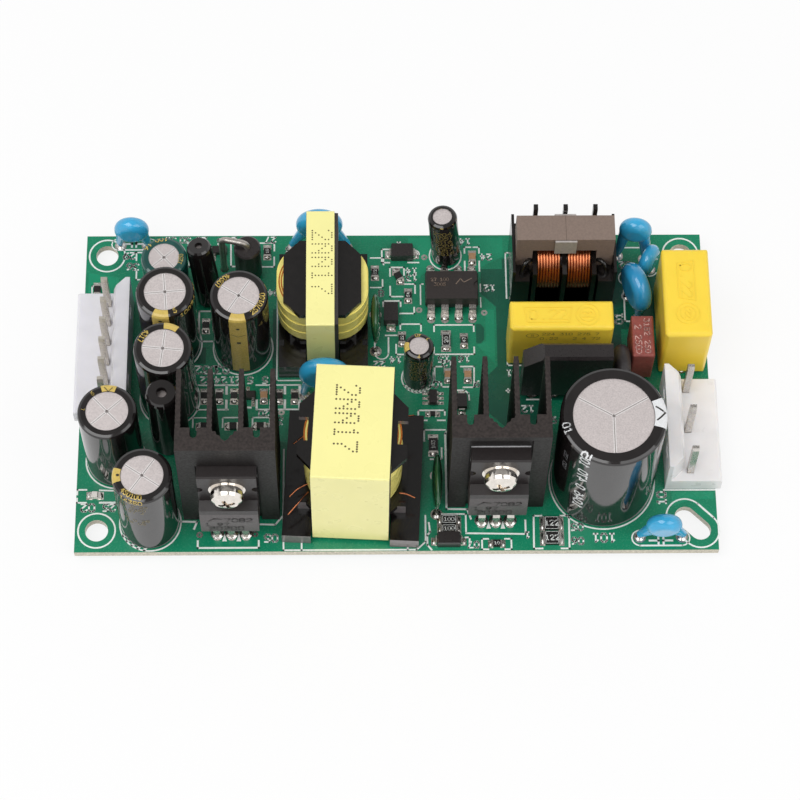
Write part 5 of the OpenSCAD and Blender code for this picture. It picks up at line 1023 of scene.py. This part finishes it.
def wires():
    """Enamelled lead-outs of the main winding and the dipped wire ends of the choke."""
    bm = bmesh.new()
    for pts in LEAD_OUTS:
        tube(bm, pts, 0.13, 6)
    keep(bm, "winding_lead_outs", "copper", smooth=True)
    bm = bmesh.new()
    lo, hi = in_mm(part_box("line_choke_windings"))
    y, z = lo.y, hi.z
    for x, s in ((lo.x - 1.6, -1), (hi.x + 1.7, 1)):
        tube(bm, ((x - s * 1.2, y + 3.4, z - 2.2), (x - s * 0.2, y + 2.6, z - 0.6), (x + s * 0.8, y + 1.6, z - 0.8),
                  (x + s * 1.2, y + 0.9, z - 3.5), (x + s * 1.3, y + 0.5, 6.5), (x + s * 1.3, y + 0.4, 4.0)), 0.42)
        tube(bm, ((x - s * 1.0, y + 1.6, z - 4.4), (x - s * 0.2, y + 0.9, z - 3.4), (x + s * 0.2, y + 0.6, z - 5.4),
                  (x + s * 0.1, y + 0.5, 6.0)), 0.36)
    keep(bm, "choke_wire_ends", "varnish_black", smooth=True)


wires()


def winding_layers():
    """Bare turns that show between the bobbins' cheeks and the yellow tape."""
    parts = []
    for node, insets, w, arcs in (("main_transformer_winding", (0.35, 0.95, 1.5, 2.05), 0.3, ((-40, 40), (140, 220))),
                                  ("aux_transformer_winding", (0.45, 0.85), 0.26, ((150, 222),))):
        lo, hi = in_mm(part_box(node))
        a, c, rx = Art(), mid((lo, hi)), (hi.x - lo.x) / 2
        ry = rx if node == "main_transformer_winding" else (hi.y - lo.y) / 2
        for k in insets:
            for start, end in arcs:
                a.ring(c.x, c.y, rx - k, w, start, end, ry=ry - k)
        parts.append(a.build("winding", "copper_enamel", flat(hi.z + MARK_LIFT), "copper_wire"))
    join("winding_layers", parts)


winding_layers()


def film_bodies():
    """Dipped film capacitors: flat bodies with swollen middles that taper into their leads."""
    bm = bmesh.new()
    rows = 18
    for (lo, hi), side in zip(islands("film_capacitors"), (-1, 1)):
        c, h = mid((lo, hi)), (hi - lo) / 2
        grid = []
        for j in range(rows + 1):
            t = -1 + 2 * j / rows
            half = h.y * 0.99 * (1 - abs(t) ** 3.2) ** 0.5 * (1 - 0.10 * (t < 0) * abs(t))
            thick = h.x * 0.92 * (1 - abs(t) ** 2.6) ** 0.6 + 0.02
            lean = 0.064 * h.x * sin(t * 2.2) * side
            grid.append([bm.verts.new(Vector((c.x + lean + thick * 0.9 * copysign(abs(x) ** 0.9, x),
                                              c.y + max(half, 0.05) * y, c.z + h.z * 0.99 * t)) * MM)
                         for x, y in circle(28)])
        skin(bm, grid, cap=True)
    o = keep(bm, "film_capacitor_bodies", "coat_green", smooth=True)
    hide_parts("film_capacitors")


film_bodies()


def rod_ends():
    """The wound rods' flat upper ends inside their sleeves, with a shallow ground centre."""
    parts = []
    for (lo, hi), core in zip(islands("rod_choke_sleeves"), islands("rod_choke_cores")):
        c = mid(core)
        leaning = (hi.y - lo.y) - (hi.x - lo.x) > 1
        if leaning:
            r, up = 2.05, Vector((-0.11, 0.22, 0.97)).normalized()
            top = c + up * 6.9
        else:
            r, up = 2.35, Vector((0, 0, 1))
            top = Vector((c.x, c.y, core[1].z + 0.03))
        e1 = Vector((1, 0, 0)).cross(up).normalized()
        e2 = up.cross(e1)
        rim, centre = Art(), Art()
        rim.ring(0, 0, r * 0.72, r * 0.56, n=40)
        centre.disc(0, 0, r * 0.46, 32)
        for art, mat, lift in ((rim, "mould_grey", 0), (centre, "painted_score_shade_and_ground_ferrite", 0.02)):
            parts.append(art.build("end", mat, lambda u, v: top + e1 * u + e2 * v + up * lift, "ferrite"))
    join("rod_choke_ends", parts)


rod_ends()


def choke_painted_shadow():
    """Painted shadow: a black field with cut corners on the board under the line choke, where the choke shades the
    board.
    """
    lo, hi = in_mm(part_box("line_choke_bobbin"))
    x0, x1, y0, y1, cut = lo.x + 0.4, hi.x - 0.4, lo.y + 0.2, hi.y - 0.2, 1.2
    a = Art()
    a.poly((x0 + cut, y0), (x1 - cut, y0), (x1, y0 + cut), (x1, y1 - cut), (x1 - cut, y1), (x0 + cut, y1),
           (x0, y1 - cut), (x0, y0 + cut))
    a.build("board_painted_shadow", "bobbin", flat(TOP + MASK_LIFT), "board_laminate")


choke_painted_shadow()


# ------------------------------------------------------- floor and lighting

FLOOR_HALF, FLOOR_Z, FLOOR_GREY, FLOOR_GLOW = 3.0, -2e-5, 0.84, 0.84
ROOM_LIGHT, CEILING = 0.56, (0.34, 0.335, 0.33, 1)


def seen(tree):
    """1 for rays that show the surroundings: from the camera, off gloss and through glass."""
    path = tree.nodes.new("ShaderNodeLightPath")
    out = path.outputs["Is Camera Ray"]
    for k in ("Is Glossy Ray", "Is Transmission Ray"):
        m = tree.nodes.new("ShaderNodeMath")
        m.operation = "MAXIMUM"
        tree.links.new(out, m.inputs[0])
        tree.links.new(path.outputs[k], m.inputs[1])
        out = m.outputs[0]
    return out


def make_floor():
    """A pale floor that looks brighter to the camera than it lights the part."""
    m = Mat("floor_pale", (FLOOR_GREY,) * 3, 0.8)
    m.vary(20, (FLOOR_GREY - 0.01,) * 3, (FLOOR_GREY + 0.01,) * 3)
    glow, mix = m.node("ShaderNodeEmission", Strength=1.0), m.n.new("ShaderNodeMixShader")
    part = m.node("ShaderNodeMath", operation="MULTIPLY")
    part.inputs[1].default_value = FLOOR_GLOW
    m.l.new(seen(m.t), part.inputs[0])
    for k, src in enumerate((part, m.b, glow)):
        m.l.new(src.outputs[0], mix.inputs[k])
    m.l.new(mix.outputs[0], m.n["Material Output"].inputs["Surface"])
    me = bpy.data.meshes.new("floor")
    s, z = FLOOR_HALF, FLOOR_Z
    me.from_pydata([(-s, -s, z), (s, -s, z), (s, s, z), (-s, s, z)], [], [(0, 1, 2, 3)])
    me.materials.append(m.m)
    link(bpy.data.objects.new("floor", me))


def area_light(name, place, size, power):
    """A rectangular lamp that looks at the origin."""
    d = bpy.data.lights.new(name, "AREA")
    d.shape, d.size, d.size_y, d.energy = "RECTANGLE", *size, power
    place = Vector(place)
    link(bpy.data.objects.new(name, d)).matrix_world = (
        Matrix.Translation(place) @ (-place).to_track_quat("-Z", "Y").to_matrix().to_4x4())


def make_lights():
    """Two lamps and a plain room; gloss shows a darker ceiling."""
    w = bpy.data.worlds.new("studio")
    w.use_nodes = True
    t = w.node_tree
    plain, room, mix = t.nodes["Background"], t.nodes.new("ShaderNodeBackground"), t.nodes.new("ShaderNodeMixShader")
    plain.inputs["Color"].default_value = WHITE
    plain.inputs["Strength"].default_value = ROOM_LIGHT
    # what gloss shows: white round the horizon, a grey ceiling overhead
    split, ramp = t.nodes.new("ShaderNodeSeparateXYZ"), t.nodes.new("ShaderNodeValToRGB")
    t.links.new(t.nodes.new("ShaderNodeTexCoord").outputs["Generated"], split.inputs[0])
    for el, p, c in zip(ramp.color_ramp.elements, (0.35, 0.85), (WHITE, CEILING)):
        el.position, el.color = p, c
    t.links.new(split.outputs["Z"], ramp.inputs[0])
    t.links.new(ramp.outputs[0], room.inputs["Color"])
    t.links.new(seen(t), mix.inputs[0])
    t.links.new(plain.outputs[0], mix.inputs[1])
    t.links.new(room.outputs[0], mix.inputs[2])
    t.links.new(mix.outputs[0], t.nodes["World Output"].inputs["Surface"])
    bpy.context.scene.world = w
    area_light("key", (-0.30, -0.20, 0.75), (0.7, 0.5), 3.6)
    area_light("fill", (0.45, -0.35, 0.6), (0.6, 0.5), 1.7)


make_floor()
make_lights()
